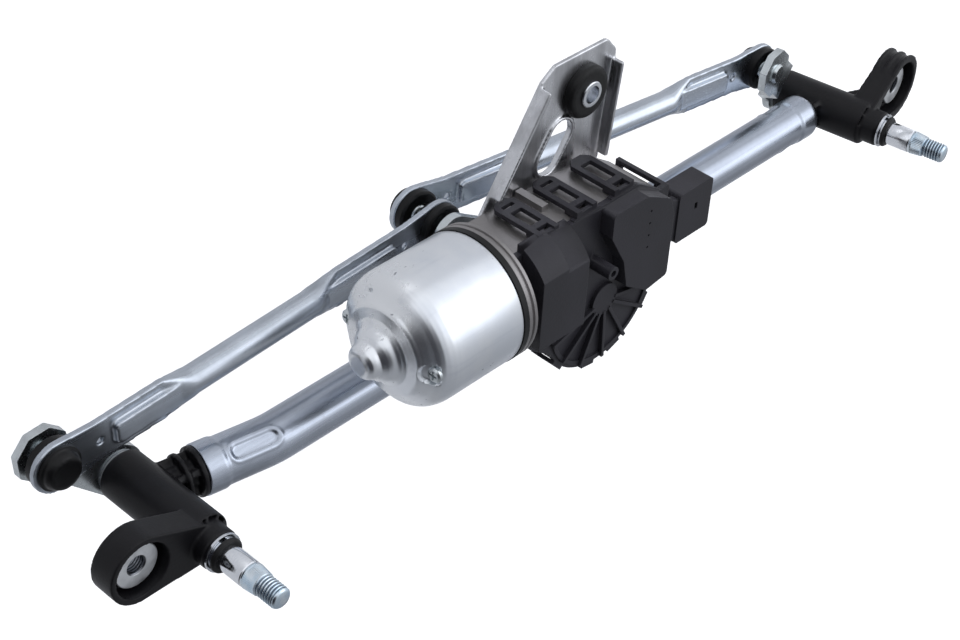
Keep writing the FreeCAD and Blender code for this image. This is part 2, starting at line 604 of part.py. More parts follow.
def socket(gap, through):
    """Plastic ball socket snapped into the rod eye. Rod middle at zero, the stud comes from below."""
    ball_z = -BALL_SET
    bore = BALL_R + gap
    lip = ball_z - 4.5
    top = 5.8 if through else ball_z + bore + 1.4
    outer = [(0, lip), (9.9, lip), (11.2, lip + 1.2), (11.2, -FLAT_T / 2 - SEAT),
             (EYE_HOLE_R - SEAT, -FLAT_T / 2 - SEAT),
             (EYE_HOLE_R - SEAT, FLAT_T / 2 + SEAT), (10.2, FLAT_T / 2 + SEAT), (10.2, FLAT_T / 2 + 1.0),
             (9.0, FLAT_T / 2 + 1.5), (8.4, FLAT_T / 2 + 3.4), (7.2, top - 0.3), (5.4, top), (0, top)]
    body = turned(outer).cut(Part.makeSphere(bore, Vec(0, 0, ball_z)))
    mouth = 4.9 + max(gap - 0.1, 0) * 0.5
    body = body.cut(turned([(0, lip - 1), (mouth + 1.6, lip - 1), (mouth, ball_z - 3.2), (mouth, ball_z),
                            (0, ball_z)]))
    grease_r, grease_h = (4.6, 12) if through else (2.2, bore + 0.5)
    return body.cut(cyl(Vec(0, 0, ball_z), grease_r, grease_h))


BALL_FIT = 0.08
flip = FreeCAD.Placement(Vec(0, 0, 0), FreeCAD.Rotation(X_AXIS, 180))
left_far = FreeCAD.Placement(Vec(left_length, 0, 0), FreeCAD.Rotation())
right_far = FreeCAD.Placement(Vec(right_length, 0, 0), FreeCAD.Rotation())
nodes["left_rod_outer_socket"] = placed(socket(OPEN_BALL_GAP, False), left_frame)


def crank_socket(shape):
    """The crank stud comes from above, so its socket is turned over, the ball above the rod middle."""
    return placed(shape, flip)


nodes["left_rod_crank_socket"] = placed(crank_socket(socket(BALL_FIT, True)), left_frame.multiply(left_far))
nodes["right_rod_crank_socket"] = placed(crank_socket(socket(BALL_FIT, False)), right_frame)
nodes["right_rod_outer_socket"] = placed(crank_socket(socket(OPEN_BALL_GAP, False)),
                                         right_frame.multiply(right_far))

# Gear housing: a die-cast pan for the worm wheel with the motor flange on its left side
PAN_R = 35.5
PAN_AT = Vec(143.5, 17.5, 0)
PAN_REAR, PAN_FRONT = BRACKET_FRONT + SEAT, 42.0
FLOOR = 3.2
WALL = 3.0
FLANGE_X0, FLANGE_X1 = 73.0, 80.0
FLANGE_R = CAN_D / 2 + 0.3
TOP_Y = 70.5
GEAR_SIDES = [(79.9, 34), (79.9, TOP_Y), (162, TOP_Y), (181, 58), (181, 14), (150, -8), (122, -5), (98, 12)]
BEARING_OUT_R = 9.5
JOURNAL_R = 6.1
END_PIN_R = 3.0
WORM_X = OUTPUT.x
mx, my, mz = MOTOR_AXIS


def inset(points, distance):
    """Move every corner of an outline inwards by the given distance from both its sides."""
    following = points[1:] + points[:1]
    area = sum(p[0] * q[1] - q[0] * p[1] for p, q in zip(points, following))
    result = []
    for i in range(len(points)):
        here = Vec(points[i][0], points[i][1], 0)
        before, after = points[i - 1], points[(i + 1) % len(points)]
        back = (Vec(before[0], before[1], 0) - here).normalize()
        ahead = (Vec(after[0], after[1], 0) - here).normalize()
        half = back.getAngle(ahead) / 2
        inward = 1 if back.cross(ahead).z * area < 0 else -1
        corner = here + (back + ahead).normalize() * (inward * distance / math.sin(half))
        result.append((corner.x, corner.y))
    return result


def gear_block(z0, z1, distance):
    """Solid over the gearbox plan: the wheel circle merged with the squarer worm and motor side."""
    pan = cyl(Vec(PAN_AT.x, PAN_AT.y, z0), PAN_R - distance, z1 - z0)
    return join([pan, slab(inset(GEAR_SIDES, distance), max(4 - distance, 0.8), z0, z1)])


BUSH_R = 7.0
BOSS_REAR = -2.5
boss = cyl(Vec(OUTPUT.x, OUTPUT.y, BOSS_REAR), BOSS_R, 30 - 6.5)
flange_disc = turned([(0, FLANGE_X0), (FLANGE_R, FLANGE_X0), (FLANGE_R, FLANGE_X0 + 1.8),
                      (FLANGE_R - 0.9, FLANGE_X0 + 2.2),
                      (FLANGE_R - 0.9, FLANGE_X0 + 3), (FLANGE_R, FLANGE_X0 + 3.4),
                      (FLANGE_R, FLANGE_X0 + 5),
                      (FLANGE_R - 0.9, FLANGE_X0 + 5.4), (FLANGE_R - 3, FLANGE_X1), (0, FLANGE_X1)],
                     Vec(0, my, mz), X_AXIS)
cavity = gear_block(PAN_REAR + FLOOR, PAN_FRONT + 2, WALL)
end_block = box(158, my - 9, PAN_REAR + FLOOR - 1, 167, my + 9, mz + 8)
SCREW_TOP = 25.0
boss_h = SCREW_TOP - PAN_REAR - FLOOR + 1
bosses = [cyl(Vec(p.x, p.y, PAN_REAR + FLOOR - 1), 5, boss_h) for p in BRACKET_SCREWS]
shell = gear_block(PAN_REAR, PAN_FRONT, 0).cut(cavity)
collar = cyl(Vec(FLANGE_X1 - 1, my, mz), BEARING_OUT_R + 3.5, 8, X_AXIS)
collar = collar.common(box(70, 0, PAN_REAR, 100, 90, PAN_FRONT))
housing = join([shell, flange_disc, boss, end_block, collar] + bosses)
top_rib = box(114.5, TOP_Y - 2, 14, 118.5, TOP_Y + 3, 30)
foot_lug = slab([(94, 12), (104, 1), (114, -3), (120, 12), (100, 22)], 3, PAN_REAR, PAN_REAR + 9)
housing = join([housing, top_rib, foot_lug])
housing = housing.cut(cyl(Vec(OUTPUT.x, OUTPUT.y, BOSS_REAR - 1), BUSH_R, 60))
housing = housing.cut(cyl(Vec(FLANGE_X0 - 1, my, mz), CAN_D / 2 - 6.5, 4.5, X_AXIS))
housing = housing.cut(cyl(Vec(FLANGE_X0, my, mz), BEARING_OUT_R + SLIP_FIT / 2, 30, X_AXIS))
housing = housing.cut(cyl(Vec(157, my, mz), 5 + SLIP_FIT / 2, 7.5, X_AXIS))
for place in BRACKET_SCREWS:
    housing = housing.cut(cyl(place, SCREW_R - 0.3 + SLIP_FIT, SCREW_TOP - 1))
CAN_SCREW_EDGE = 5.8
CAN_SCREW_R = CAN_D / 2 - CAN_SCREW_EDGE
CAN_SCREW_END = FLANGE_X1 - 1.5
can_screw_places = [Vec(0, my, mz + CAN_SCREW_R), Vec(0, my, mz - CAN_SCREW_R)]
for place in can_screw_places:
    housing = housing.cut(cyl(place + Vec(FLANGE_X0 - 5, 0, 0), 2.0 + SLIP_FIT,
                              CAN_SCREW_END - FLANGE_X0 + 5.5, X_AXIS))
nodes["gear_housing"] = housing


def hex_prism(base, flats, height, axis=Z_AXIS):
    """Six-sided head or nut with its front corners turned off."""
    r = flats / math.sqrt(3)
    corners = [(r * math.cos(math.radians(60 * i)), r * math.sin(math.radians(60 * i))) for i in range(6)]
    shape = slab(corners, 0, 0, height)
    shape = shape.common(turned([(0, 0), (r + 1, 0), (r + 1, height - 1.6), (flats / 2 - 0.2, height),
                                 (0, height)]))
    shape.Placement = FreeCAD.Placement(base, FreeCAD.Rotation(Z_AXIS, axis))
    return shape


def screw(base, axis, radius, length, head_r, head_h):
    """Pan head screw: its seat is at base, the shank runs along axis, a cross recess is in the head."""
    body = turned([(0, -head_h), (head_r - 0.7, -head_h), (head_r, -head_h + 0.9), (head_r, 0), (radius, 0),
                   (radius, length - 0.8), (radius - 0.8, length), (0, length)])
    for turn in (0, 90):
        body = body.cut(spin(box(-head_r * 0.6, -0.5, -head_h - 1, head_r * 0.6, 0.5, -head_h + 1.2), turn))
    body.Placement = FreeCAD.Placement(base, FreeCAD.Rotation(Z_AXIS, axis))
    return body


nodes["bracket_screws"] = Part.makeCompound([
    screw(Vec(p.x, p.y, BRACKET_REAR - SEAT), Z_AXIS, SCREW_R - 0.3, SCREW_TOP - BRACKET_REAR - 2.5, 5, 3)
    for p in BRACKET_SCREWS])

# Output shaft with its bush, washers, clip and the hexagon nut of the crank
nodes["output_bush"] = turned([
    (OUT_SHAFT_R + RUN_FIT, BOSS_REAR), (BUSH_R - 0.5, BOSS_REAR), (BUSH_R, BOSS_REAR + 0.5), (BUSH_R, 20),
    (BUSH_R - 0.5, 20.5), (OUT_SHAFT_R + RUN_FIT, 20.5)], Vec(OUTPUT.x, OUTPUT.y, 0))
NUT_REAR = CRANK_REAR - 5.6
shaft_turns = [(0, NUT_REAR - 2), (3.1, NUT_REAR - 2), (4.0, NUT_REAR - 1.1)]
for i in range(5):
    low = NUT_REAR - 1.0 + i * 1.25
    shaft_turns += [(4.0, low), (3.3, low + 0.6)]
shaft_turns += [(4.0, CRANK_REAR - 0.4), (4.0, CRANK_REAR - 0.05), (OUT_SHAFT_R, CRANK_REAR - 0.05),
                (OUT_SHAFT_R, 37.4), (OUT_SHAFT_R - 0.8, 38.2), (0, 38.2)]
nodes["output_shaft"] = turned(shaft_turns, Vec(OUTPUT.x, OUTPUT.y, 0))
nut = hex_prism(Vec(OUTPUT.x, OUTPUT.y, CRANK_REAR - 0.1), 13, 5.4, Z_AXIS * -1)
nodes["crank_nut"] = nut.cut(cyl(Vec(OUTPUT.x, OUTPUT.y, -30), 4.05, 40))
nodes["output_washer"] = turned([
    (OUT_SHAFT_R + 0.15, BOSS_REAR - 1.1), (8.4, BOSS_REAR - 1.1), (8.4, BOSS_REAR - 0.1),
    (OUT_SHAFT_R + 0.15, BOSS_REAR - 0.1)], Vec(OUTPUT.x, OUTPUT.y, 0))

# Worm wheel and worm
STARTS = 1
TEETH = 48
WHEEL_R = 22.0
WORM_R = GEAR_OFFSET - WHEEL_R
MODULE = 2 * WHEEL_R / TEETH
WORM_PITCH = math.pi * MODULE * STARTS
TOOTH_GAP = 0.18
WHEEL_Z0, WHEEL_Z1 = mz - 4, mz + 4
LEAD = math.atan(WORM_PITCH / (2 * math.pi * WORM_R))
WHEEL_TWIST = (WHEEL_Z1 - WHEEL_Z0) * math.tan(LEAD) / WHEEL_R


def wheel_outline(z, twist):
    """Closed tooth outline: straight flanks that narrow from root to tip, a gap centred on plus Y."""
    root, tip = WHEEL_R - 1.25 * MODULE, WHEEL_R + 0.9 * MODULE
    step = 2 * math.pi / TEETH
    points = []
    for i in range(TEETH):
        middle = math.pi / 2 + (i + 0.5) * step + twist
        for radius, share in ((root, -0.36), (tip, -0.13), (tip, 0.13), (root, 0.36)):
            angle = middle + share * step
            points.append(Vec(OUTPUT.x + radius * math.cos(angle), OUTPUT.y + radius * math.sin(angle), z))
    return Part.makePolygon(points + [points[0]])


rim = Part.makeLoft([wheel_outline(WHEEL_Z0, -WHEEL_TWIST / 2), wheel_outline(WHEEL_Z1, WHEEL_TWIST / 2)],
                    True, True)
hub = tube(Vec(OUTPUT.x, OUTPUT.y, 21.2), 9, OUT_SHAFT_R, 16.3)
dish = []
for z0, z1 in ((WHEEL_Z0 - 1, WHEEL_Z0 + 2.6), (WHEEL_Z1 - 2.6, WHEEL_Z1 + 1)):
    dish.append(tube(Vec(OUTPUT.x, OUTPUT.y, z0), WHEEL_R - 4.5, 9, z1 - z0))
wheel = rim
for cutter in dish:
    wheel = wheel.cut(cutter)
spokes = [spin(box(8.5, -0.9, WHEEL_Z0 + 0.6, WHEEL_R - 4, 0.9, WHEEL_Z1 - 0.6), 45 * i) for i in range(8)]
spokes = [moved(s, OUTPUT) for s in spokes]
wheel = wheel.fuse(hub)
for s in spokes:
    wheel = wheel.fuse(s)
nodes["worm_wheel"] = wheel.cut(cyl(Vec(OUTPUT.x, OUTPUT.y, 0), OUT_SHAFT_R, 60))

WORM_TIP = WORM_R + 0.9 * MODULE
WORM_ROOT = WORM_R - 1.2 * MODULE
WORM_HALF = 4 * WORM_PITCH
CAN_X0, CAN_X1 = 4.0, 70.0
CORE_X0, CORE_X1 = 33.0, 55.0
COMM_X0, COMM_X1 = 61.5, 69.0
NOSE_PIN_R = 3.5
CORE_BORE_R = 4.0
shaft_turns = [(0, 9.0), (NOSE_PIN_R - 0.3, 9.0), (NOSE_PIN_R, 9.5), (NOSE_PIN_R, 18), (CORE_BORE_R, 18.6),
               (CORE_BORE_R, 71), (4.6, 71.6), (4.6, 76), (JOURNAL_R, 76.6), (JOURNAL_R, 90),
               (WORM_ROOT, 92), (WORM_ROOT, WORM_X + WORM_HALF + 4),
               (END_PIN_R + 0.6, 152), (END_PIN_R + 0.6, 158.5),
               (END_PIN_R, 158.7), (END_PIN_R, 163.4), (END_PIN_R - 0.8, 164.1), (0, 164.1)]
shaft_body = turned(shaft_turns, Vec(0, my, mz), X_AXIS)
helix = Part.makeHelix(WORM_PITCH, 2 * WORM_HALF, WORM_ROOT - 0.3)
deep = WORM_TIP - WORM_ROOT + 0.3
inner_half, outer_half = WORM_PITCH * 0.33, WORM_PITCH * 0.12
flank = Part.makePolygon([Vec(WORM_ROOT - 0.3, 0, -inner_half), Vec(WORM_ROOT - 0.3 + deep, 0, -outer_half),
                          Vec(WORM_ROOT - 0.3 + deep, 0, outer_half), Vec(WORM_ROOT - 0.3, 0, inner_half),
                          Vec(WORM_ROOT - 0.3, 0, -inner_half)])
thread = Part.Wire(helix).makePipeShell([flank], True, True)
thread.Placement = FreeCAD.Placement(Vec(WORM_X - WORM_HALF, my, mz),
                                     FreeCAD.Rotation(Vec(0, -1, 0), Vec(0, 0, 1), Vec(1, 0, 0)))
nodes["armature_shaft"] = shaft_body.fuse(thread)

# Motor: drawn can with its stepped nose, magnets, wound armature, commutator and brushes
CAN_R = CAN_D / 2
CAN_WALL = 1.8
can_nose = [(0, CAN_X0), (4.4, CAN_X0), (6.0, 4.6), (7.4, 5.8), (8.2, 7.6), (8.6, 9.4), (9.6, 10.2)]
can_step = [(10.8, 11.2), (11.8, 12.6), (12.8, 14.6), (13.6, 15.4), (14.6, 15.9), (15.4, 16.6)]
can_face = [(18.2, 17.4), (20.2, 17.9), (21.2, 18.6), (22.0, 19.6), (CAN_R - 6.2, 21.6)]
can_shoulder = [(CAN_R - 5.2, 22.2), (CAN_R - 4.2, 22.8), (CAN_R - 2.9, 23.9), (CAN_R - 1.7, 25.5),
                (CAN_R - 0.8, 27.6), (CAN_R - 0.2, 30.2), (CAN_R, 33), (CAN_R, CAN_X1)]
can_profile = can_nose + can_step + can_face + can_shoulder
can_inner = [(0, 8), (6.5, 8), (6.5, 15.2), (11.0, 17.4), (14.4, 18.4), (21, 20.6), (CAN_R - 6.2, 24.4),
             (CAN_R - 3.8, 26.2), (CAN_R - CAN_WALL - 0.6, 29.6), (CAN_R - CAN_WALL, 33),
             (CAN_R - CAN_WALL, CAN_X1 + 1), (0, CAN_X1 + 1)]
SCREW_SEAT_X = 24.2
hollow = turned(can_inner, Vec(0, my, mz), X_AXIS)
for place in can_screw_places:
    hollow = hollow.cut(cyl(place + Vec(10, 0, 0), 6.2, SCREW_SEAT_X + 1.6 - 10, X_AXIS))
can = turned(can_profile + [(0, CAN_X1)], Vec(0, my, mz), X_AXIS).cut(hollow)
for place in can_screw_places:
    can = can.cut(cyl(place + Vec(10, 0, 0), 4.8, SCREW_SEAT_X - 10, X_AXIS))
    can = can.cut(cyl(place, 2.0 + SLIP_FIT, 30, X_AXIS))
for turn in (62, 182, 302):
    notch = spin(box(CAN_R - 6.4, -1.6, 0, CAN_R - 4.0, 1.6, 22.4), turn)
    upright = FreeCAD.Placement(Vec(0, my, mz), FreeCAD.Rotation(Z_AXIS, X_AXIS))
    notch.Placement = upright.multiply(notch.Placement)
    can = can.cut(notch)
nodes["motor_can"] = can
nodes["can_gasket"] = tube(Vec(CAN_X1 + SEAT, my, mz), FLANGE_R, CAN_R - 4.0,
                           FLANGE_X0 - CAN_X1 - 2 * SEAT, X_AXIS)
gasket = nodes["can_gasket"]
for place in can_screw_places:
    gasket = gasket.cut(cyl(place + Vec(60, 0, 0), 2.4, 20, X_AXIS))
nodes["can_gasket"] = gasket
nodes["can_screws"] = Part.makeCompound([
    screw(place + Vec(SCREW_SEAT_X - SEAT, 0, 0), X_AXIS, 2.0, CAN_SCREW_END - SCREW_SEAT_X, 3.6, 2.4)
    for place in can_screw_places])
MAGNET_T = 6.9
MAGNET_X0, MAGNET_LENGTH = 33.4, 28.0
MAGNET_SLOPE = 1.25
MAGNET_IN = CAN_R - CAN_WALL - MAGNET_T
magnet_ring = tube(Vec(MAGNET_X0, my, mz), CAN_R - CAN_WALL - SEAT, MAGNET_IN, MAGNET_LENGTH, X_AXIS)
keep = []
for side in (1, -1):
    far_y, rise = my + side * 50, 50 * MAGNET_SLOPE
    wedge = Part.makePolygon([Vec(20, my, mz), Vec(20, far_y, mz - rise), Vec(20, far_y, mz + rise),
                              Vec(20, my, mz)])
    keep.append(magnet_ring.common(Part.Face(wedge).extrude(Vec(60, 0, 0))))
nodes["magnets"] = Part.makeCompound(keep)
CORE_R = MAGNET_IN - 0.8
core = tube(Vec(CORE_X0, my, mz), CORE_R, CORE_BORE_R, CORE_X1 - CORE_X0, X_AXIS)
SLOTS = 10
for i in range(SLOTS):
    slot = box(CORE_X0 - 1, 9.5, -2.6, CORE_X1 + 1, CORE_R - 2.2, 2.6)
    mouth = box(CORE_X0 - 1, CORE_R - 3, -0.9, CORE_X1 + 1, CORE_R + 2, 0.9)
    for piece in (slot, mouth):
        core = core.cut(moved(spin(piece, 360 / SLOTS * i, Vec(0, 0, 0), X_AXIS), Vec(0, my, mz)))
nodes["armature_core"] = core
HEAD_R = CORE_R - 3.1
coils = []
for i in range(SLOTS):
    bar = box(CORE_X0 - 2, 9.8, -2.3, CORE_X1 + 2, CORE_R - 2.5, 2.3)
    coils.append(moved(spin(bar, 360 / SLOTS * i, Vec(0, 0, 0), X_AXIS), Vec(0, my, mz)))
for x0, x1 in ((CORE_X0 - 6, CORE_X0 - 0.4), (CORE_X1 + 0.4, CORE_X1 + 6)):
    coils.append(turned([(6, x0 + 1.5), (8, x0), (HEAD_R - 3.4, x0), (HEAD_R, x0 + 2), (HEAD_R, x1 - 2),
                         (HEAD_R, x1), (6, x1)], Vec(0, my, mz), X_AXIS))
nodes["armature_windings"] = join(coils)
COMM_R = 8.5
commutator = tube(Vec(COMM_X0, my, mz), COMM_R, CORE_BORE_R, COMM_X1 - COMM_X0, X_AXIS)
for i in range(SLOTS):
    cut = box(COMM_X0 + 1.2, COMM_R - 1.2, -0.3, COMM_X1 + 1, COMM_R + 1, 0.3)
    turned_cut = spin(cut, 360 / SLOTS * i + 18, Vec(0, 0, 0), X_AXIS)
    commutator = commutator.cut(moved(turned_cut, Vec(0, my, mz)))
nodes["commutator"] = commutator
HOLDER_R = CAN_R - 4.3
holder = tube(Vec(CAN_X1 + 0.1, my, mz), HOLDER_R, 8, 2.6, X_AXIS)
for place in can_screw_places:
    holder = holder.cut(cyl(place + Vec(60, 0, 0), 2.4, 20, X_AXIS))
brushes = []
for side in (1, -1):
    outer, inner = COMM_R + 12.5, COMM_R + 2.2
    guide = box(COMM_X0 + 1, inner, -4.4, CAN_X1 + 0.5, outer, 4.4)
    guide = guide.cut(box(COMM_X0 - 1.5, inner - 1, -3.05, COMM_X1 + SEAT, outer - 1.2, 3.05))
    guide = guide.cut(box(COMM_X0 - 1.5, 0, -3.05, COMM_X0 + 2.4, 60, 3.05))
    carbon = box(COMM_X0 + 2.5, COMM_R + 0.1, -3, COMM_X1, COMM_R + 9, 3)
    turn = 0 if side > 0 else 180
    holder = holder.fuse(moved(spin(guide, turn, Vec(0, 0, 0), X_AXIS), Vec(0, my, mz)))
    brushes.append(moved(spin(carbon, turn, Vec(0, 0, 0), X_AXIS), Vec(0, my, mz)))
nodes["brush_holder"] = holder
nodes["carbon_brushes"] = Part.makeCompound(brushes)
nodes["nose_bush"] = turned([
    (NOSE_PIN_R + RUN_FIT, 9.5), (5.4, 9.5), (6.5, 10.6), (6.5, 14.2), (5.4, 15.2),
    (NOSE_PIN_R + RUN_FIT, 15.2)], Vec(0, my, mz), X_AXIS)
nodes["worm_bearing"] = turned([
    (JOURNAL_R + RUN_FIT, 79.4), (BEARING_OUT_R, 79.4), (BEARING_OUT_R, 86.4),
    (JOURNAL_R + RUN_FIT, 86.4)], Vec(0, my, mz), X_AXIS)
nodes["worm_end_bush"] = turned([
    (END_PIN_R + RUN_FIT, 159.4), (5.0, 159.4), (5.0, 163.8), (END_PIN_R + RUN_FIT, 163.8)],
    Vec(0, my, mz), X_AXIS)

# Gear cover: moulded lid with the brush housing, the electronics dome, ribs, snap clips and the connector
LID_FRONT = 45.0
LID_T = 2.4
lid = gear_block(PAN_FRONT + SEAT, LID_FRONT, -0.4)
lid = lid.cut(gear_block(PAN_FRONT - 1, LID_FRONT - LID_T, WALL + 0.3))
BLOCK_AXIS = Vec(0, 47, 34)
BLOCK_R = 28.9
BLOCK_X = (86.0, 102.0, 115.0)
BLOCK_FRONT = 58.5
BLOCK_LOW = 26.0


def motor_side(grow, z_low):
    """Brush housing: rounded about the motor in two steps along X, flat in front and below."""
    x0, step, x1 = BLOCK_X[0] + grow, BLOCK_X[1], BLOCK_X[2] - grow
    round_a = cyl(BLOCK_AXIS + Vec(x0, 0, 0), BLOCK_R - grow, step - x0, X_AXIS)
    round_b = cyl(BLOCK_AXIS + Vec(step - 0.5, 0, 0), BLOCK_R - 1 - grow, x1 - step + 0.5, X_AXIS)
    front = BLOCK_FRONT - grow
    lower = box(x0, BLOCK_LOW + grow, z_low, x1, BLOCK_AXIS.y, front)
    keep = box(x0, BLOCK_LOW + grow, z_low, x1, BLOCK_AXIS.y + 40, front)
    return join([round_a, round_b, lower]).common(keep)


brush_dome = motor_side(0, PAN_FRONT + SEAT)
DOME_SIDES = [(137, 57), (137, 69.5), (160, 69), (177, 60), (180.5, 50), (180.5, 16), (166, 14),
              (151, 24), (147, 40)]
DOME_FRONT = 52.5
dome = slab(DOME_SIDES, 2, PAN_FRONT + SEAT, DOME_FRONT)
dome_hollow = slab(inset(DOME_SIDES, 2.2), 1, PAN_FRONT - 1, DOME_FRONT - 2.2)
ribs = []
HUB_R = 8.2
for turn in (-34, -12, 196, 222, 248, 274, 300):
    rib = box(HUB_R - 1, -0.8, LID_FRONT - 1, PAN_R - 1, 0.8, LID_FRONT + 2.4)
    ribs.append(moved(spin(rib, turn), PAN_AT))
hub_disc = cyl(PAN_AT + Vec(0, 0, LID_FRONT - 1), HUB_R, 3)
POST = Vec(134.6, 42.2, LID_FRONT - 1)
post = cyl(POST, 3.3, 13)
rim_ring = tube(PAN_AT + Vec(0, 0, LID_FRONT - 1), PAN_R - 1.5, PAN_R - 3.5, 2.0)
rim_ring = rim_ring.common(box(90, -25, 40, 182, 12, 50))
lid_solid = join([lid, dome, hub_disc, post, rim_ring] + ribs).fuse(brush_dome)
lid_solid = lid_solid.cut(dome_hollow).cut(motor_side(2.2, PAN_FRONT - 3))
lid_solid = lid_solid.cut(cyl(POST + Vec(0, 0, 8), 1.6, 10))


def top_clip(x0, x1, slots):
    """Flat snap loop over the top edge of the housing, open in the middle, bent down at its front end."""
    width = x1 - x0
    y0, y1 = TOP_Y + 2.0, TOP_Y + 4.2
    tip, front = BRACKET_FRONT + 5.4, 40.0
    flat = slab([(x0, tip), (x0 + 3, tip - 3.4), (x1 - 3, tip - 3.4), (x1, tip), (x1, front),
                 (x0, front)], 0.5, 0, y1 - y0)
    for a, b in slots:
        flat = flat.cut(rounded_box(x0 + 3, a, -1, x1 - 3, b, 5, 0.6))
    flat.rotate(Vec(0, 0, 0), X_AXIS, 90)
    flat.translate(Vec(0, y1, 0))
    leg_l = box(x0, TOP_Y + 0.4, front - 2.6, x0 + 3, y1, PAN_FRONT + 2.4)
    leg_r = box(x1 - 3, TOP_Y + 0.4, front - 2.6, x1, y1, PAN_FRONT + 2.4)
    bridge = box(x0, TOP_Y - 0.6, PAN_FRONT + 0.4, x1, y1 - 1, PAN_FRONT + 2.4)
    return [flat, leg_l, leg_r, bridge]


clips = []
for x0, slots in ((96.5, ((19.4, 21.6), (25, 37))), (121, ((19.4, 21.6), (25, 37))),
                  (145.5, ((21.5, 36.5),))):
    clips += top_clip(x0, x0 + 13, slots)
    clips.append(box(x0 - 2, TOP_Y - 8, PAN_FRONT + SEAT, x0 + 15, TOP_Y + 1, PAN_FRONT + 2.6))
hook_loop = box(182.2, 52, 15, 184.6, 60, LID_FRONT - 1).cut(box(181, 54.2, 18, 186, 57.8, LID_FRONT - 7))
hook_root = box(176, 52, PAN_FRONT + SEAT, 184.6, 60, LID_FRONT - 0.2)
snap_hooks = []
for turn in (222, 262, 290, 330, -12):
    hook = box(PAN_R + 0.3, -4.2, 32, PAN_R + 2.1, 4.2, LID_FRONT)
    hook = hook.cut(box(PAN_R - 1, -2.6, 34, PAN_R + 4, 2.6, LID_FRONT - 4))
    root = box(PAN_R - 3, -4.2, PAN_FRONT + 0.6, PAN_R + 2.1, 4.2, LID_FRONT)
    for piece in (hook, root):
        snap_hooks.append(moved(spin(piece, turn), PAN_AT))
CONN_X0, CONN_X1 = 194.0, 218.2
CONN_Y0, CONN_Y1 = 21.8, 49.0
CONN_REAR, CONN_FRONT = 33.0, LID_FRONT + 0.2
CONN_WALL = 2.0
shell_box = rounded_box(CONN_X0, CONN_Y0, CONN_REAR, CONN_X1, CONN_Y1, CONN_FRONT, 2)
shell_room = rounded_box(CONN_X0 + CONN_WALL, CONN_Y0 + CONN_WALL, CONN_REAR - 1, CONN_X1 - CONN_WALL,
                         CONN_Y1 - CONN_WALL, CONN_FRONT - 3.2, 1)
key_slot = box(CONN_X0 + 12, CONN_Y1 - 13, CONN_FRONT - 1.6, CONN_X0 + 14, CONN_Y1 - 9.5, CONN_FRONT + 1)
neck = box(178, CONN_Y0 + 2.2, PAN_FRONT + SEAT - 2, CONN_X0 + 1, CONN_Y1 - 2, LID_FRONT - 0.6)
neck = neck.cut(gear_block(0, PAN_FRONT, -0.2))
lid_solid = join([lid_solid, shell_box, neck, hook_loop, hook_root] + clips + snap_hooks)
pin_holes = [cyl(Vec(163, 40 + 6.6 * i, DOME_FRONT - 1), 0.6, 3) for i in range(4)]
lid_solid = lid_solid.cut(shell_room).cut(key_slot).cut(gear_block(0, PAN_FRONT, -0.15))
lid_solid = lid_solid.cut(box(FLANGE_X0, -50, PAN_FRONT - 2, FLANGE_X1 + SLIP_FIT, 120, LID_FRONT + 20))
for hole in pin_holes:
    lid_solid = lid_solid.cut(hole)
PINS = 4
pins = []
for i in range(PINS):
    y = 28 + 5 * i
    x_down = 206 + (3 if i % 2 else -3)
    flat = box(170, y - 0.6, 42.9, x_down + 0.6, y + 0.6, 43.9)
    down = box(x_down - 0.6, y - 0.6, 38.4, x_down + 0.6, y + 0.6, 43.9)
    stub = box(170, y - 0.6, 42.9, 171.2, y + 0.6, 45.4)
    pins.append(join([flat, down, stub]))
for pin in pins:
    lid_solid = lid_solid.cut(pin)
BOARD_Z = 45.5
post_h = DOME_FRONT - 2.0 - BOARD_Z - 1.6
board_posts = [cyl(Vec(x, y, BOARD_Z + 1.6), 2.2, post_h) for x, y in ((157, 26), (145, 62), (171, 56))]
nodes["gear_cover"] = join([lid_solid] + board_posts)
nodes["connector_pins"] = Part.makeCompound(pins)
board = slab(inset(DOME_SIDES, 3.0), 0.8, BOARD_Z, BOARD_Z + 1.6)
parts_on_board = [box(153, 30, BOARD_Z - 2, 163, 40, BOARD_Z + 0.1),
                  cyl(Vec(162, 50, BOARD_Z + 1.5), 2, 2.2),
                  box(163, 20, BOARD_Z - 1.5, 168, 28, BOARD_Z + 0.1)]
nodes["circuit_board"] = join([board] + parts_on_board)

for name, shape in nodes.items():
    shape = moved(shape, ORIGIN * -1)
    shape.exportStep("parts/" + name + ".step")
    print(name, len(shape.Solids), shape.isValid(), round(shape.Volume, 1))
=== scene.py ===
import math

import bmesh
import bpy
import numpy as np
from mathutils import Matrix, Vector


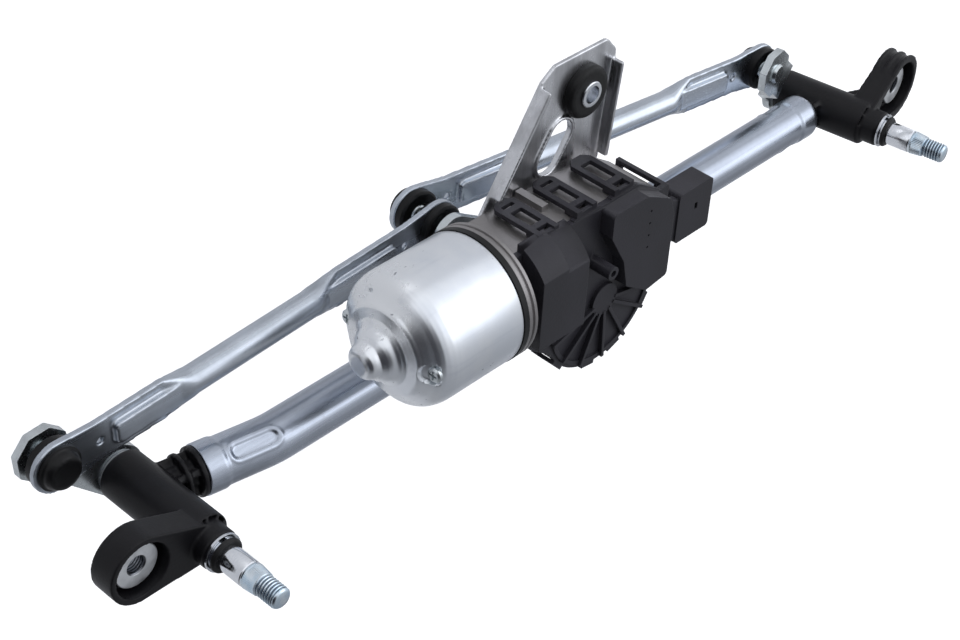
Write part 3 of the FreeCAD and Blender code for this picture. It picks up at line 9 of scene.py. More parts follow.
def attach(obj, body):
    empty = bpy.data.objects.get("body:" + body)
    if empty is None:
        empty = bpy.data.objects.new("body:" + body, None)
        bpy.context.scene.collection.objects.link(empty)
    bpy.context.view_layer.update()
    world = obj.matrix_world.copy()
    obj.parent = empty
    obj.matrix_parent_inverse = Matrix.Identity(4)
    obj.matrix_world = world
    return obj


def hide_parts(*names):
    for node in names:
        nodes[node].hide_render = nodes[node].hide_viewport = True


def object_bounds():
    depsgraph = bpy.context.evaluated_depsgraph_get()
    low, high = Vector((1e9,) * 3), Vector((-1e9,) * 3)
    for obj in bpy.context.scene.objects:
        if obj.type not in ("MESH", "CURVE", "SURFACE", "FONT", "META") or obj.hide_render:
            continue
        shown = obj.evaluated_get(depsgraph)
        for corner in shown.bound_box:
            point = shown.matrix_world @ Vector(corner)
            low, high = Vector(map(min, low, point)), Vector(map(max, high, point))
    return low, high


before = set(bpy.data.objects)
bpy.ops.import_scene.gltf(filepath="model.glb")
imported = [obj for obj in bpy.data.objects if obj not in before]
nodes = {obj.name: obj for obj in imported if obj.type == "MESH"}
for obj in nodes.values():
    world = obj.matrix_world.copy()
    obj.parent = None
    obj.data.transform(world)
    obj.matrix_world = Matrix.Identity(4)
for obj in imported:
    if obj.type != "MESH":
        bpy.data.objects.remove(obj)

cad_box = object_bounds()

# Camera. A long lens looks down on the linkage from beside the motor nose, rolled so that the
# main tube climbs from the lower left to the upper right of the picture.
LENS_MM = 77.52
camera_place = Vector((-0.59787, 0.48033, 0.48644))
look_along = Vector((0.58468, -0.62469, -0.51761)).normalized()
to_the_right = Vector((0.69105, 0.04928, 0.72112)).normalized()
picture_up = to_the_right.cross(look_along).normalized()

camera = bpy.data.objects.new("camera", bpy.data.cameras.new("camera"))
bpy.context.scene.collection.objects.link(camera)
camera.data.lens = LENS_MM
camera.data.sensor_width = 36
camera.data.clip_start = 0.05
camera.data.clip_end = 20
turn = Matrix((to_the_right, picture_up, -look_along)).transposed()
camera.matrix_world = Matrix.Translation(camera_place) @ turn.to_4x4()
bpy.context.scene.camera = camera
bpy.context.scene.view_settings.view_transform = "Standard"


# Stage. White paper lies well below the linkage, under three soft boxes. The room is pale, with a
# bright window above and a dark corner, which give the bare metal its highlights and dark streaks.
class Sock:
    """An output socket of a shader tree, used as a number, vector or colour in an expression."""

    def __init__(self, tree, link):
        self.tree, self.link = tree, link

    def node(self, kind, settings=(), inputs=(), out=0):
        """A new node of that kind: its settings first, then values or links for its inputs."""
        made = self.tree.nodes.new(kind)
        for key, value in dict(settings).items():
            setattr(made, key, value)
        for key, value in dict(inputs).items():
            if isinstance(value, Sock):
                self.tree.links.new(value.link, made.inputs[key])
            else:
                made.inputs[key].default_value = value
        return Sock(self.tree, made.outputs[out])

    def maths(self, operation, first, second=0.0):
        """A Math node of that operation on one or two numbers."""
        return self.node("ShaderNodeMath", {"operation": operation}, {0: first, 1: second})

    def __add__(self, other):
        return self.maths("ADD", self, other)

    __radd__ = __add__

    def __sub__(self, other):
        return self.maths("SUBTRACT", self, other)

    def __rsub__(self, other):
        return self.maths("SUBTRACT", other, self)

    def __mul__(self, other):
        return self.maths("MULTIPLY", self, other)

    __rmul__ = __mul__

    def dot(self, direction):
        """How far this vector reaches along a direction."""
        ends = {0: self, 1: tuple(direction)}
        return self.node("ShaderNodeVectorMath", {"operation": "DOT_PRODUCT"}, ends, 1)

    def steps(self, low, high, at_low=0.0, at_high=1.0):
        """Smoothly from at_low to at_high while this value goes from low to high."""
        values = {"Value": self, "From Min": low, "From Max": high, "To Min": at_low, "To Max": at_high}
        return self.node("ShaderNodeMapRange", {"interpolation_type": "SMOOTHSTEP"}, values)

    def blend(self, first, second):
        """The colour first where this mask is 0 and second where it is 1."""
        ends = {"Factor": self, "A": first, "B": second}
        return self.node("ShaderNodeMix", {"data_type": "RGBA"}, ends, 2)

    def noise(self, scale, detail=3.0, stretch=(1, 1, 1)):
        """Noise over this place, drawn out along an axis where stretch is small."""
        place = self.node("ShaderNodeMapping", {}, {"Vector": self, "Scale": stretch})
        return place.node("ShaderNodeTexNoise", {}, {"Vector": place, "Scale": scale, "Detail": detail})


def new_finish(name):
    """A material with its Principled shader and its Object coordinates: (material, shader, place)."""
    material = bpy.data.materials.new(name)
    material.use_nodes = True
    tree = material.node_tree
    place = Sock(tree, tree.nodes.new("ShaderNodeTexCoord").outputs["Object"])
    return material, tree.nodes["Principled BSDF"], place


def drive(place, shader, **inputs):
    """Sets or links the named inputs of a shader; Base_Color stands for Base Color, and so on."""
    for key, value in inputs.items():
        target = shader.inputs[key.replace("_", " ")]
        if isinstance(value, Sock):
            place.tree.links.new(value.link, target)
        else:
            target.default_value = value


FLOOR_DROP = 0.30
FLOOR_HALF = 4.0
PAPER_GLOW = 0.62
LIT_PLACE = Vector((0.0, -0.08, 0.0))
floor_z = cad_box[0][2] - FLOOR_DROP
floor_corners = [(x * FLOOR_HALF, y * FLOOR_HALF, floor_z) for x, y in ((-1, -1), (1, -1), (1, 1), (-1, 1))]
floor_mesh = bpy.data.meshes.new("floor")
floor_mesh.from_pydata(floor_corners, [], [(0, 1, 2, 3)])
floor = bpy.data.objects.new("floor", floor_mesh)
bpy.context.scene.collection.objects.link(floor)
paper, paper_shader, paper_place = new_finish("white_paper")
drive(paper_place, paper_shader, Base_Color=(0.86, 0.86, 0.87, 1), Roughness=0.9)
tree = paper.node_tree
paper_light = Sock(tree, paper_shader.outputs[0])
seen = Sock(tree, tree.nodes.new("ShaderNodeLightPath").outputs["Is Camera Ray"])
glow = seen.node("ShaderNodeEmission", {}, {"Color": (1, 1, 1, 1), "Strength": PAPER_GLOW})
lit = seen.node("ShaderNodeAddShader", {}, {0: paper_light, 1: glow})
surface = seen.node("ShaderNodeMixShader", {}, {0: seen, 1: paper_light, 2: lit})
tree.links.new(surface.link, tree.nodes["Material Output"].inputs["Surface"])
floor_mesh.materials.append(paper)


def soft_box(name, direction, distance, size, power):
    """A square lamp of that size at a distance from the motor, facing it."""
    lamp = bpy.data.lights.new(name, "AREA")
    lamp.shape = "SQUARE"
    lamp.size = size
    lamp.energy = power
    holder = bpy.data.objects.new(name, lamp)
    bpy.context.scene.collection.objects.link(holder)
    aim = Vector(direction).normalized()
    holder.visible_glossy = False
    holder.location = LIT_PLACE + aim * distance
    holder.rotation_euler = (-aim).to_track_quat("-Z", "Y").to_euler()


overhead = picture_up - look_along * 0.5 - to_the_right * 0.2
from_left = -to_the_right * 0.9 + picture_up * 0.5 - look_along * 0.1
from_behind = look_along * 0.6 + picture_up * 0.6 + to_the_right * 0.5
soft_box("overhead_box", overhead, distance=1.5, size=1.0, power=15)
soft_box("left_box", from_left, distance=1.5, size=0.8, power=8)
soft_box("edge_box", from_behind, distance=1.6, size=0.8, power=8)

WINDOW_TOWARD = (0.59, 0.44, 0.68)
DARK_TOWARD = (-0.82, -0.05, 0.57)
world = bpy.data.worlds.new("studio")
bpy.context.scene.world = world
world.use_nodes = True
sky = world.node_tree
for old in list(sky.nodes):
    sky.nodes.remove(old)
heading = Sock(sky, sky.nodes.new("ShaderNodeTexCoord").outputs["Generated"])
from_camera = Sock(sky, sky.nodes.new("ShaderNodeLightPath").outputs["Is Camera Ray"])
height = heading.dot(picture_up * 0.9 - look_along * 0.44)
room = height.steps(-0.9, 0.6).blend((0.30, 0.31, 0.33, 1), (0.90, 0.92, 0.96, 1))
room = heading.dot(WINDOW_TOWARD).steps(0.86, 0.985).blend(room, (1.75, 1.79, 1.88, 1))
room = heading.dot(DARK_TOWARD).steps(0.62, 0.93).blend(room, (0.02, 0.02, 0.025, 1))
room = from_camera.blend(room, (1, 1, 1, 1))
air = heading.node("ShaderNodeBackground", {}, {"Color": room, "Strength": 1.0})
sky.links.new(air.link, sky.nodes.new("ShaderNodeOutputWorld").inputs["Surface"])


# Main tube. Drawn steel tube, galvanised: pale, a little blue, with long drawing lines and dull
# specks. Both ends are widened to a bead and crimped on the housings, with two pressed pockets
# each; the right end is spun in to a dome over the stub of its housing.
def shaded(colour, share, lift=0.0):
    """The colour times share, plus lift, with full alpha."""
    return tuple(min(1.0, c * share + lift) for c in colour[:3]) + (1,)


def relief(place, height, strength, depth, edge=None):
    """Normal pushed by that height; with edge, corners look rounded over that radius in metres."""
    values = {"Strength": strength, "Distance": depth, "Height": height}
    if edge:
        values["Normal"] = place.node("ShaderNodeBevel", {"samples": 4}, {"Radius": edge})
    return place.node("ShaderNodeBump", {}, values)


def zinc(name, colour, rough, lines, streak=0.5, edge=0.0003):
    """Zinc-coated steel with spangle, specks and drawn marks.

    lines is how the fine marks are drawn out along X, Y and Z; streak is the share of the long ones."""
    material, shader, place = new_finish(name)
    clouds = place.noise(60.0, 6.0)
    spangle = place.node("ShaderNodeTexVoronoi", {"feature": "F1"}, {"Vector": place, "Scale": 420.0}, 0)
    fine = place.noise(900.0, 3.0, lines)
    long_marks = place.noise(260.0, 4.0, tuple(0.5 * v for v in lines))
    specks = place.noise(1100.0, 2.0).steps(0.66, 0.78)
    tone = long_marks.steps(0.34, 0.62) * streak + clouds.steps(0.3, 0.7) * (0.75 - streak)
    tone = tone + fine * 0.35 + spangle * 0.1
    shade = (specks * 0.4).blend(tone.blend(shaded(colour, 0.55), colour), (0.33, 0.34, 0.36, 1))
    height = fine * 0.6 + clouds * 0.5 + long_marks * 0.5
    drive(place, shader, Base_Color=shade, Metallic=1.0, Normal=relief(place, height, 0.14, 0.0002, edge),
          Roughness=long_marks.steps(0.3, 0.7, rough + 0.07, rough - 0.05) + specks * 0.15)
    return material


def stand_in(name, mesh, body, material, sharp=40):
    """Puts a finished mesh into the scene in place of the solid of that name."""
    mesh.shade_smooth()
    mesh.set_sharp_from_angle(angle=math.radians(sharp))
    mesh.materials.clear()
    mesh.materials.append(material)
    piece = bpy.data.objects.new(name + "_skin", mesh)
    bpy.context.scene.collection.objects.link(piece)
    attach(piece, body)
    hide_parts(name)
    return piece


BENCH_ORIGIN = (155.0, 108.0, 5.6)


def woven(name, rings, loop=False):
    """Mesh over an array (rings, points, 3), every ring closed; with loop the last meets the first.

    Points are millimetres on the modelling bench, where the frame's origin lies at BENCH_ORIGIN. A
    ring of one repeated point becomes a pole."""
    count, around = rings.shape[:2]
    i = np.arange(count if loop else count - 1)[:, None] * around
    j = np.arange(around)[None, :]
    far, ahead = (i + around) % (count * around), (j + 1) % around
    faces = np.stack([i + j, i + ahead, far + ahead, far + j], -1).reshape(-1, 4)
    mesh = bpy.data.meshes.new(name + "_skin")
    mesh.from_pydata(((rings.reshape(-1, 3) - BENCH_ORIGIN) * 0.001).tolist(), [], faces.tolist())
    shape = bmesh.new()
    shape.from_mesh(mesh)
    bmesh.ops.remove_doubles(shape, verts=shape.verts, dist=1e-7)
    bmesh.ops.recalc_face_normals(shape, faces=shape.faces)
    shape.to_mesh(mesh)
    shape.free()
    return mesh


TUBE_R = 11.0
TUBE_INNER = 9.2
TUBE_TAIL = 30.0
TUBE_BEND = math.radians(10.0)
TUBE_BEND_R = 60.0
TUBE_BEND_X = -10.0
TUBE_RIGHT_X = 354.0
ARC_LENGTH = TUBE_BEND_R * TUBE_BEND
TUBE_LENGTH = TUBE_TAIL + ARC_LENGTH + TUBE_RIGHT_X - TUBE_BEND_X
TUBE_POINTS = 144
BEAD = 0.7
BEAD_LENGTH = 8.0
BEAD_RUN_OUT = 3.0
DOME_LENGTH = 5.0
DOME_TURN_IN = 4.5
STUB_HOLE_R = 6.1


def smooth(value, low, high):
    """Smoothly from 0 to 1 while the value goes from low to high: 3 t^2 - 2 t^3."""
    t = np.clip((value - low) / (high - low), 0, 1)
    return t * t * (3 - 2 * t)


def tube_rings(along, radius):
    """Rings of the bent tube: centre line p(s), point p(s) + r (cos a Y + sin a N).

    N is square to Y and to the centre line, which is a tail, an arc and a straight. along and
    radius are s and r for each ring, or r for each ring and angle."""
    angle = np.arange(TUBE_POINTS) * 2 * math.pi / TUBE_POINTS
    turn = TUBE_BEND * (1 - np.clip((along - TUBE_TAIL) / ARC_LENGTH, 0, 1))
    on_arc_x = TUBE_BEND_X - TUBE_BEND_R * np.sin(turn)
    on_arc_z = TUBE_BEND_R * (np.cos(turn) - 1)
    run = np.where(along < TUBE_TAIL, along - TUBE_TAIL, np.maximum(along - TUBE_TAIL - ARC_LENGTH, 0))
    forward = np.stack([np.cos(turn), 0 * turn, np.sin(turn)], -1)
    centre = np.stack([on_arc_x, 0 * turn, on_arc_z], -1) + forward * run[:, None]
    level = np.array((0.0, 1.0, 0.0))
    square = np.stack([-np.sin(turn), 0 * turn, np.cos(turn)], -1)
    radius = radius if radius.ndim == 2 else np.repeat(radius[:, None], TUBE_POINTS, 1)
    spoke = np.cos(angle)[None, :, None] * level + np.sin(angle)[None, :, None] * square[:, None]
    return centre[:, None] + radius[..., None] * spoke


def pocket(along, angle, middle, facing, length, width, corner, depth):
    """Change of radius by a pressed pocket with a soft edge and a raised border.

    gap is the distance outside a rounded rectangle: inside it the wall goes down to a flat, r cos a
    constant, and a border 0.28 exp(-((gap - 1.2) / 0.8)^2) runs round it."""
    off = (angle - facing + math.pi) % (2 * math.pi) - math.pi
    past_end = np.abs(along - middle) - length / 2 + corner
    past_side = np.abs(off) * TUBE_R - width / 2 + corner
    gap = np.hypot(np.maximum(past_end, 0), np.maximum(past_side, 0))
    gap = gap + np.minimum(np.maximum(past_end, past_side), 0) - corner
    flat = (TUBE_R - depth) / np.cos(np.clip(off, -1, 1)) - TUBE_R
    return np.minimum(flat, 0) * smooth(-gap, -0.3, 1.1) + 0.28 * np.exp(-((gap - 1.2) / 0.8) ** 2)


# Rings lie close together at the beads and pockets and wide apart on the straight between them.
stations = np.unique(np.concatenate([
    np.arange(0.6, 13, 0.5), np.arange(10, 38, 0.4), np.arange(38, 44, 1.0),
    np.arange(46, TUBE_LENGTH - 34, 12), np.arange(TUBE_LENGTH - 34, TUBE_LENGTH, 0.4)]))
from_right = TUBE_LENGTH - stations
angles = np.arange(TUBE_POINTS) * 2 * math.pi / TUBE_POINTS
bead_end = BEAD_LENGTH + BEAD_RUN_OUT
beads = smooth(-stations, -bead_end, -BEAD_LENGTH) + smooth(-from_right, -bead_end, -BEAD_LENGTH)
wall = np.repeat((TUBE_R + BEAD * beads)[:, None], TUBE_POINTS, 1)
for facing in np.radians((40, 220)):
    wall = wall + pocket(stations[:, None], angles[None, :], middle=23.5, facing=facing, length=22.0,
                         width=7.0, corner=3.4, depth=1.2)
for facing in np.radians((-40, 140)):
    wall = wall + pocket(stations[:, None], angles[None, :], middle=TUBE_LENGTH - 17.5, facing=facing,
                         length=10.0, width=8.0, corner=2.2, depth=1.1)
turns = np.radians(np.arange(0, 91, 7.5))
dome_s = TUBE_LENGTH + DOME_LENGTH * np.sin(turns)
dome_r = TUBE_R + BEAD - DOME_TURN_IN + DOME_TURN_IN * np.cos(turns)
mouth_s = np.array([0.3, 0.0, 0.0, 0.12, 0.35])
mouth_r = np.array([TUBE_INNER, 9.45, 11.3, 11.55, 11.68])
inside_s = np.concatenate([
    [TUBE_LENGTH + 4.9, TUBE_LENGTH + 4.4, TUBE_LENGTH, TUBE_LENGTH, TUBE_LENGTH - 0.5],
    np.arange(TUBE_LENGTH - 12, 46, -12), np.arange(44, 26, -1.0), np.arange(24, 1, -6)])
inside_r = np.where(np.arange(len(inside_s)) < 3, STUB_HOLE_R, TUBE_INNER)
tube_parts = ((mouth_s, mouth_r), (stations, wall), (dome_s, dome_r), (inside_s, inside_r))
tube_mesh = woven("main_tube", np.concatenate([tube_rings(s, r) for s, r in tube_parts]), loop=True)
tube_zinc = zinc("tube_zinc", (0.56, 0.61, 0.70, 1), rough=0.27, lines=(0.008, 1, 1), streak=0.62)
stand_in("main_tube", tube_mesh, "frame", tube_zinc)

# Centre bracket. Pressed from galvanised sheet, with two turned-up flanges and a rolled oval
# window; it sits on a saddle over the tube and is screwed to the gear housing.
def dressed(name, body, material, sharp=32, melt=None):
    """A copy of the solid of that name with merged corners, smooth round walls and its finish.

    With melt, an even net of that cell size in millimetres is drawn over it and relaxed, which
    rounds every edge as in a moulding."""
    mesh = nodes[name].data.copy()
    shape = bmesh.new()
    shape.from_mesh(mesh)
    bmesh.ops.remove_doubles(shape, verts=shape.verts, dist=2e-6)
    if not melt:
        bmesh.ops.dissolve_limit(shape, angle_limit=math.radians(0.4), verts=shape.verts, edges=shape.edges)
    shape.to_mesh(mesh)
    shape.free()
    piece = stand_in(name, mesh, body, material, sharp)
    if melt:
        net = piece.modifiers.new("net", "REMESH")
        net.mode = "VOXEL"
        net.voxel_size = melt * 0.001
        net.use_smooth_shade = True
        relax = piece.modifiers.new("relax", "SMOOTH")
        relax.factor = 0.5
        relax.iterations = 5
    else:
        even = piece.modifiers.new("even", "WEIGHTED_NORMAL")
        even.keep_sharp = True
    return piece


bracket_zinc = zinc("bracket_zinc", (0.80, 0.81, 0.84, 1), rough=0.27, lines=(0.9, 0.05, 0.9), streak=0.6)
dressed("bracket", "frame", bracket_zinc, melt=0.6)
dressed("tube_saddle", "frame", bracket_zinc)


# Rubber mount of the bracket. A soft black grommet is pressed into the plate and holds a turned
# steel sleeve, which the fixing bolt clamps.
def rubber(name, colour, rough):
    """Matt moulded rubber with a fine grain and a pale bloom in patches."""
    material, shader, place = new_finish(name)
    grain = place.noise(1500.0, 2.0)
    bloom = place.noise(80.0, 4.0).steps(0.45, 0.75)
    drive(place, shader, Base_Color=bloom.blend(colour, shaded(colour, 1.9, 0.004)), Specular_IOR_Level=0.3,
          Roughness=bloom.steps(0, 1, rough - 0.05, rough + 0.08),
          Normal=relief(place, grain, 0.2, 0.0003, 0.0004))
    return material


black_rubber = rubber("black_rubber", (0.006, 0.006, 0.0065, 1), rough=0.5)
dressed("bracket_grommet", "frame", black_rubber)
bright_steel = zinc("bright_steel", (0.88, 0.91, 0.96, 1), rough=0.15, lines=(0.5, 0.5, 0.5), streak=0.2)
dressed("bracket_sleeve", "frame", bright_steel)


# Pivot housings. Each is one glass-filled nylon moulding: barrel, ear with a recess, gusset ribs
# and a ribbed stub in the tube. Spark-eroded tool faces leave a fine dull grain.
def moulded(name, colour, rough):
    """Injection-moulded plastic: fine grain, faint flow clouds, softened edges."""
    material, shader, place = new_finish(name)
    fine = place.noise(900.0, 2.0)
    flow = place.noise(38.0, 4.0, (1, 0.5, 1))
    tint = flow.steps(0.3, 0.7).blend(colour, shaded(colour, 1.4, 0.0015))
    drive(place, shader, Base_Color=tint, Specular_IOR_Level=0.24,
          Roughness=flow.steps(0.3, 0.7, rough - 0.06, rough + 0.07),
          Normal=relief(place, fine, 0.16, 0.0003, 0.0005))
    return material


black_nylon = moulded("black_nylon", (0.0048, 0.0046, 0.0058, 1), rough=0.40)
grey_bearing = moulded("grey_bearing", (0.42, 0.43, 0.45, 1), rough=0.4)
for side in ("left", "right"):
    dressed(side + "_pivot_housing", "frame", black_nylon, melt=0.55)
    dressed(side + "_bearing_sleeve", "frame", grey_bearing)

# Ear inserts. Turned steel collars with a washer face, pressed into the ears so that the fixing
# bolts do not crush the plastic; their faces are dull and pale from the plating bath.
RIGHT_LEAN = math.radians(8)
BOLT_PITCH = 0.00125
INSERTS = {"left": ((-108.0, 9.0, 0.0), 0.0), "right": ((405.48, 7.0, -4.59), RIGHT_LEAN)}


def leaning(lean):
    """Direction of an axis that leans from Z towards X."""
    return (math.sin(lean), 0.0, math.cos(lean))


def from_axis(place, foot, lean):
    """Distance in metres from the leaning axis through foot, which is in bench millimetres."""
    start = tuple((f - o) * 0.001 for f, o in zip(foot, BENCH_ORIGIN))
    arm = place.node("ShaderNodeVectorMath", {"operation": "SUBTRACT"}, {0: place, 1: start})
    swept = arm.node("ShaderNodeVectorMath", {"operation": "CROSS_PRODUCT"}, {0: arm, 1: leaning(lean)})
    return swept.node("ShaderNodeVectorMath", {"operation": "LENGTH"}, {0: swept}, 1)


def insert_finish(name, foot, lean):
    """Dull pale zinc with a threaded bore in painted shade: dark, in deeper and lighter bands along the
    thread, which is a sine along the axis.
    """
    material, shader, place = new_finish(name)
    clouds = place.noise(170.0, 5.0)
    bore = from_axis(place, foot, lean).steps(0.0044, 0.0050, 1.0, 0.0)
    turns_up = place.dot(leaning(lean)) * (2 * math.pi / BOLT_PITCH)
    ridge = turns_up.maths("SINE", turns_up)
    shade = clouds.steps(0.3, 0.7).blend((0.66, 0.68, 0.70, 1), (0.88, 0.90, 0.92, 1))
    # Painted shade: inside the bore the colour goes dark, darker in the thread's grooves and lighter on its
    # crests.
    shade = bore.blend(shade, (ridge * 0.5 + 0.5).blend((0.05, 0.055, 0.06, 1), (0.40, 0.42, 0.46, 1)))
    drive(place, shader, Base_Color=shade, Metallic=1.0,
          Roughness=clouds.steps(0.3, 0.7, 0.34, 0.46) - bore * 0.1,
          Normal=relief(place, clouds + ridge * bore, 0.15, 0.0002))
    return material


for side, (foot, lean) in INSERTS.items():
    pale_zinc = insert_finish(side + "_insert_zinc", foot, lean)
    dressed(side + "_ear_insert", "frame", pale_zinc)

# Wiper spindles. Hardened steel, ground bright, with a straight-knurled taper and a rolled M10
# thread, both blue from the zinc bath, for the wiper arm. A washer, a snap ring and a dust seal
# keep each one in its housing; the right one leans outwards.
SPINDLES = {"left": ((-75.0, 2.0, 0.0), 0.0, -26.3), "right": ((372.8, 0.0, 0.0), RIGHT_LEAN, -23.3)}
ARM_T = 4.0
SHAFT_R = 6.0
NECK_R = 5.0
SEAL_GROOVE_R = 5.6
KNURL_FOOT = 56.4
KNURL_TEETH = 44
KNURL_DEPTH = 0.22
THREAD_FOOT = 62.7
THREAD_END = 73.0
THREAD_R = 5.0
THREAD_PITCH = 1.5
THREAD_DEPTH = 0.84
SPINDLE_TIP = 74.0
SPINDLE_POINTS = 176


def spindle_mesh(name, foot, lean, arm_front):
    """Turned shaft r(z, a): profile rings, then a straight knurl, then a right-hand thread.

    The knurl takes KNURL_DEPTH (1 + cos(44 a)) / 2 off the radius, the thread THREAD_DEPTH
    (1 + cos(2 pi z / 1.5 - a)) / 2; both run out smoothly at their ends."""
    arm_rear = arm_front - ARM_T
    head = [(0.0, arm_rear - 1.2), (6.1, arm_rear - 1.2), (6.4, arm_rear - 1.0), (6.8, arm_rear - 0.1),
            (6.6, arm_rear), (NECK_R, arm_rear), (NECK_R, arm_front), (NECK_R, arm_front + 0.05),
            (5.9, arm_front + 0.05), (SHAFT_R, arm_front + 0.2), (SHAFT_R, 0.0), (SHAFT_R, 39.2)]
    clip_groove = [(NECK_R, 39.25), (NECK_R, 40.3)]
    seal_groove = [(SEAL_GROOVE_R, 40.35), (SEAL_GROOVE_R, 42.45)]
    ground = [(5.95, 42.5), (SHAFT_R, 42.6), (SHAFT_R, 48.0), (SHAFT_R, 54.8), (5.95, 55.0), (5.68, 55.25),
              (5.68, 55.5), (5.95, 56.2)]
    shank = np.array(head + clip_groove + seal_groove + ground)
    knurl_z = np.arange(KNURL_FOOT, THREAD_FOOT, 0.25)
    knurl_r = np.interp(knurl_z, [KNURL_FOOT, THREAD_FOOT], [SHAFT_R, 5.35])
    thread_z = np.arange(THREAD_FOOT, THREAD_END, 0.11)
    thread_r = np.interp(thread_z, [THREAD_FOOT, 63.3, 63.9, 72.4, 72.9],
                         [5.35, 4.3, THREAD_R, THREAD_R, 4.75])
    tip = np.array([(4.6, 73.2), (4.2, 73.6), (3.6, SPINDLE_TIP), (0.0, SPINDLE_TIP)])
    radius = np.concatenate([shank[:, 0], knurl_r, thread_r, tip[:, 0]])
    level = np.concatenate([shank[:, 1], knurl_z, thread_z, tip[:, 1]])
    angle = np.arange(SPINDLE_POINTS) * 2 * math.pi / SPINDLE_POINTS
    knurled = smooth(level, KNURL_FOOT - 0.1, KNURL_FOOT + 0.5)
    knurled = knurled * smooth(-level, -THREAD_FOOT - 0.2, -THREAD_FOOT + 0.3)
    threaded = smooth(level, THREAD_FOOT + 0.6, THREAD_FOOT + 1.5)
    threaded = threaded * smooth(-level, -THREAD_END + 0.1, -THREAD_END + 0.8)
    phase = 2 * math.pi * level[:, None] / THREAD_PITCH - angle[None, :]
    skin = np.repeat(radius[:, None], SPINDLE_POINTS, 1)
    skin = skin - KNURL_DEPTH / 2 * knurled[:, None] * (1 + np.cos(KNURL_TEETH * angle))[None, :]
    skin = skin - THREAD_DEPTH / 2 * threaded[:, None] * (1 + np.cos(phase)) * (radius > 0)[:, None]
    sideways = (skin * np.cos(angle))[..., None] * np.array((math.cos(lean), 0.0, -math.sin(lean)))
    forwards = (skin * np.sin(angle))[..., None] * np.array((0.0, 1.0, 0.0))
    upwards = level[:, None, None] * np.array(leaning(lean))
    return woven(name, np.array(foot) + sideways + forwards + upwards)


def spindle_steel(name, foot, lean):
    """Ground steel up to the knurl, then bluish zinc, with painted shade down in the grooves of the knurl
    and the thread.
    """
    material, shader, place = new_finish(name)
    foot_up = sum((f - o) * 0.001 * a for f, o, a in zip(foot, BENCH_ORIGIN, leaning(lean)))
    up = place.dot(leaning(lean)) - foot_up
    plated = up.steps(0.0553, 0.0556)
    grinding = place.noise(1400.0, 2.0, (0.3, 0.3, 3.0))
    clouds = place.noise(160.0, 4.0)
    bright = grinding.steps(0.3, 0.7).blend((0.80, 0.83, 0.88, 1), (0.95, 0.97, 1.0, 1))
    blue = clouds.steps(0.3, 0.7).blend((0.60, 0.74, 0.86, 1), (0.86, 0.93, 0.98, 1))
    outside = up.steps(0.0555, 0.0627, 0.00592, 0.00527) - up.steps(0.0627, 0.0632) * 0.00032
    # Painted shade: below the outer radius of the knurl and the thread, the blue zinc is painted dark.
    groove_shade = (from_axis(place, foot, lean) - outside).steps(-0.0005, -0.0001, 1.0, 0.0)
    groove_shade = groove_shade * up.steps(0.0722, 0.0728, 1.0, 0.0)
    shade = plated.blend(bright, groove_shade.blend(blue, (0.22, 0.27, 0.33, 1)))
    drive(place, shader, Base_Color=shade, Metallic=1.0,
          Roughness=plated * 0.10 + grinding.steps(0.3, 0.7, 0.10, 0.17),
          Normal=relief(place, grinding, 0.1, 0.0001))
    return material


for side, (foot, lean, arm_front) in SPINDLES.items():
    body = side + "_shaft"
    spindle = spindle_mesh(side + "_spindle", foot, lean, arm_front)
    steel = spindle_steel(side + "_spindle_steel", foot, lean)
    stand_in(side + "_spindle", spindle, body, steel, sharp=50)
    dressed(side + "_retaining_clip", body, bright_steel)
    dressed(side + "_front_washer", body, bright_steel)
    dressed(side + "_dust_seal", body, black_rubber)
    dressed(side + "_rear_washer", body, grey_bearing)

# Crank arms of the spindles. Stamped plates with clipped corners, zinc plated; the spindle and
# the ball stud are peened into them from behind.
plate_zinc = zinc("plate_zinc", (0.78, 0.83, 0.85, 1), rough=0.25, lines=(0.5, 0.5, 0.5), streak=0.25)
for side in ("left", "right"):
    dressed(side + "_crank_arm", side + "_shaft", plate_zinc)
    dressed(side + "_ball_stud", side + "_shaft", plate_zinc)

# Connecting rods. Each is pressed from thin galvanised tube with flat embossed ends; a black
# ball socket is snapped into the eye at either end.
rod_zinc = zinc("rod_zinc", (0.62, 0.67, 0.74, 1), rough=0.26, lines=(0.012, 0.5, 1), streak=0.55)
black_socket = moulded("black_socket", (0.0045, 0.0045, 0.005, 1), rough=0.34)
for rod in ("left_rod", "right_rod"):
    dressed(rod, rod, rod_zinc, melt=0.55)
    dressed(rod + "_outer_socket", rod, black_socket)
    dressed(rod + "_crank_socket", rod, black_socket)

# Motor crank. A stamped plate on the end of the output shaft, clamped by a hexagon nut; one stud
# with two balls drives both rods.
for name in ("crank", "crank_nut", "crank_ball_stud", "output_washer"):
    dressed(name, "crank", plate_zinc)
dressed("output_shaft", "crank", bright_steel)


# Gear housing. Die-cast aluminium pan with the motor flange, left with its dull and slightly warm
# cast skin. Three screws hold it to the bracket.
def cast(name, colour, rough):
    """Die-cast aluminium: grainy skin with darker flow marks."""
    material, shader, place = new_finish(name)
    skin = place.noise(700.0, 5.0)
    flow = place.noise(45.0, 5.0)
    tone = flow.steps(0.3, 0.7) * 0.7 + skin * 0.3
    drive(place, shader, Base_Color=tone.blend(shaded(colour, 0.72), colour), Metallic=0.85,
          Roughness=flow.steps(0.3, 0.7, rough - 0.06, rough + 0.08),
          Normal=relief(place, skin, 0.35, 0.0003, 0.0004))
    return material


cast_aluminium = cast("cast_aluminium", (0.36, 0.345, 0.345, 1), rough=0.40)
dressed("gear_housing", "frame", cast_aluminium, sharp=24)
dressed("bracket_screws", "frame", plate_zinc)

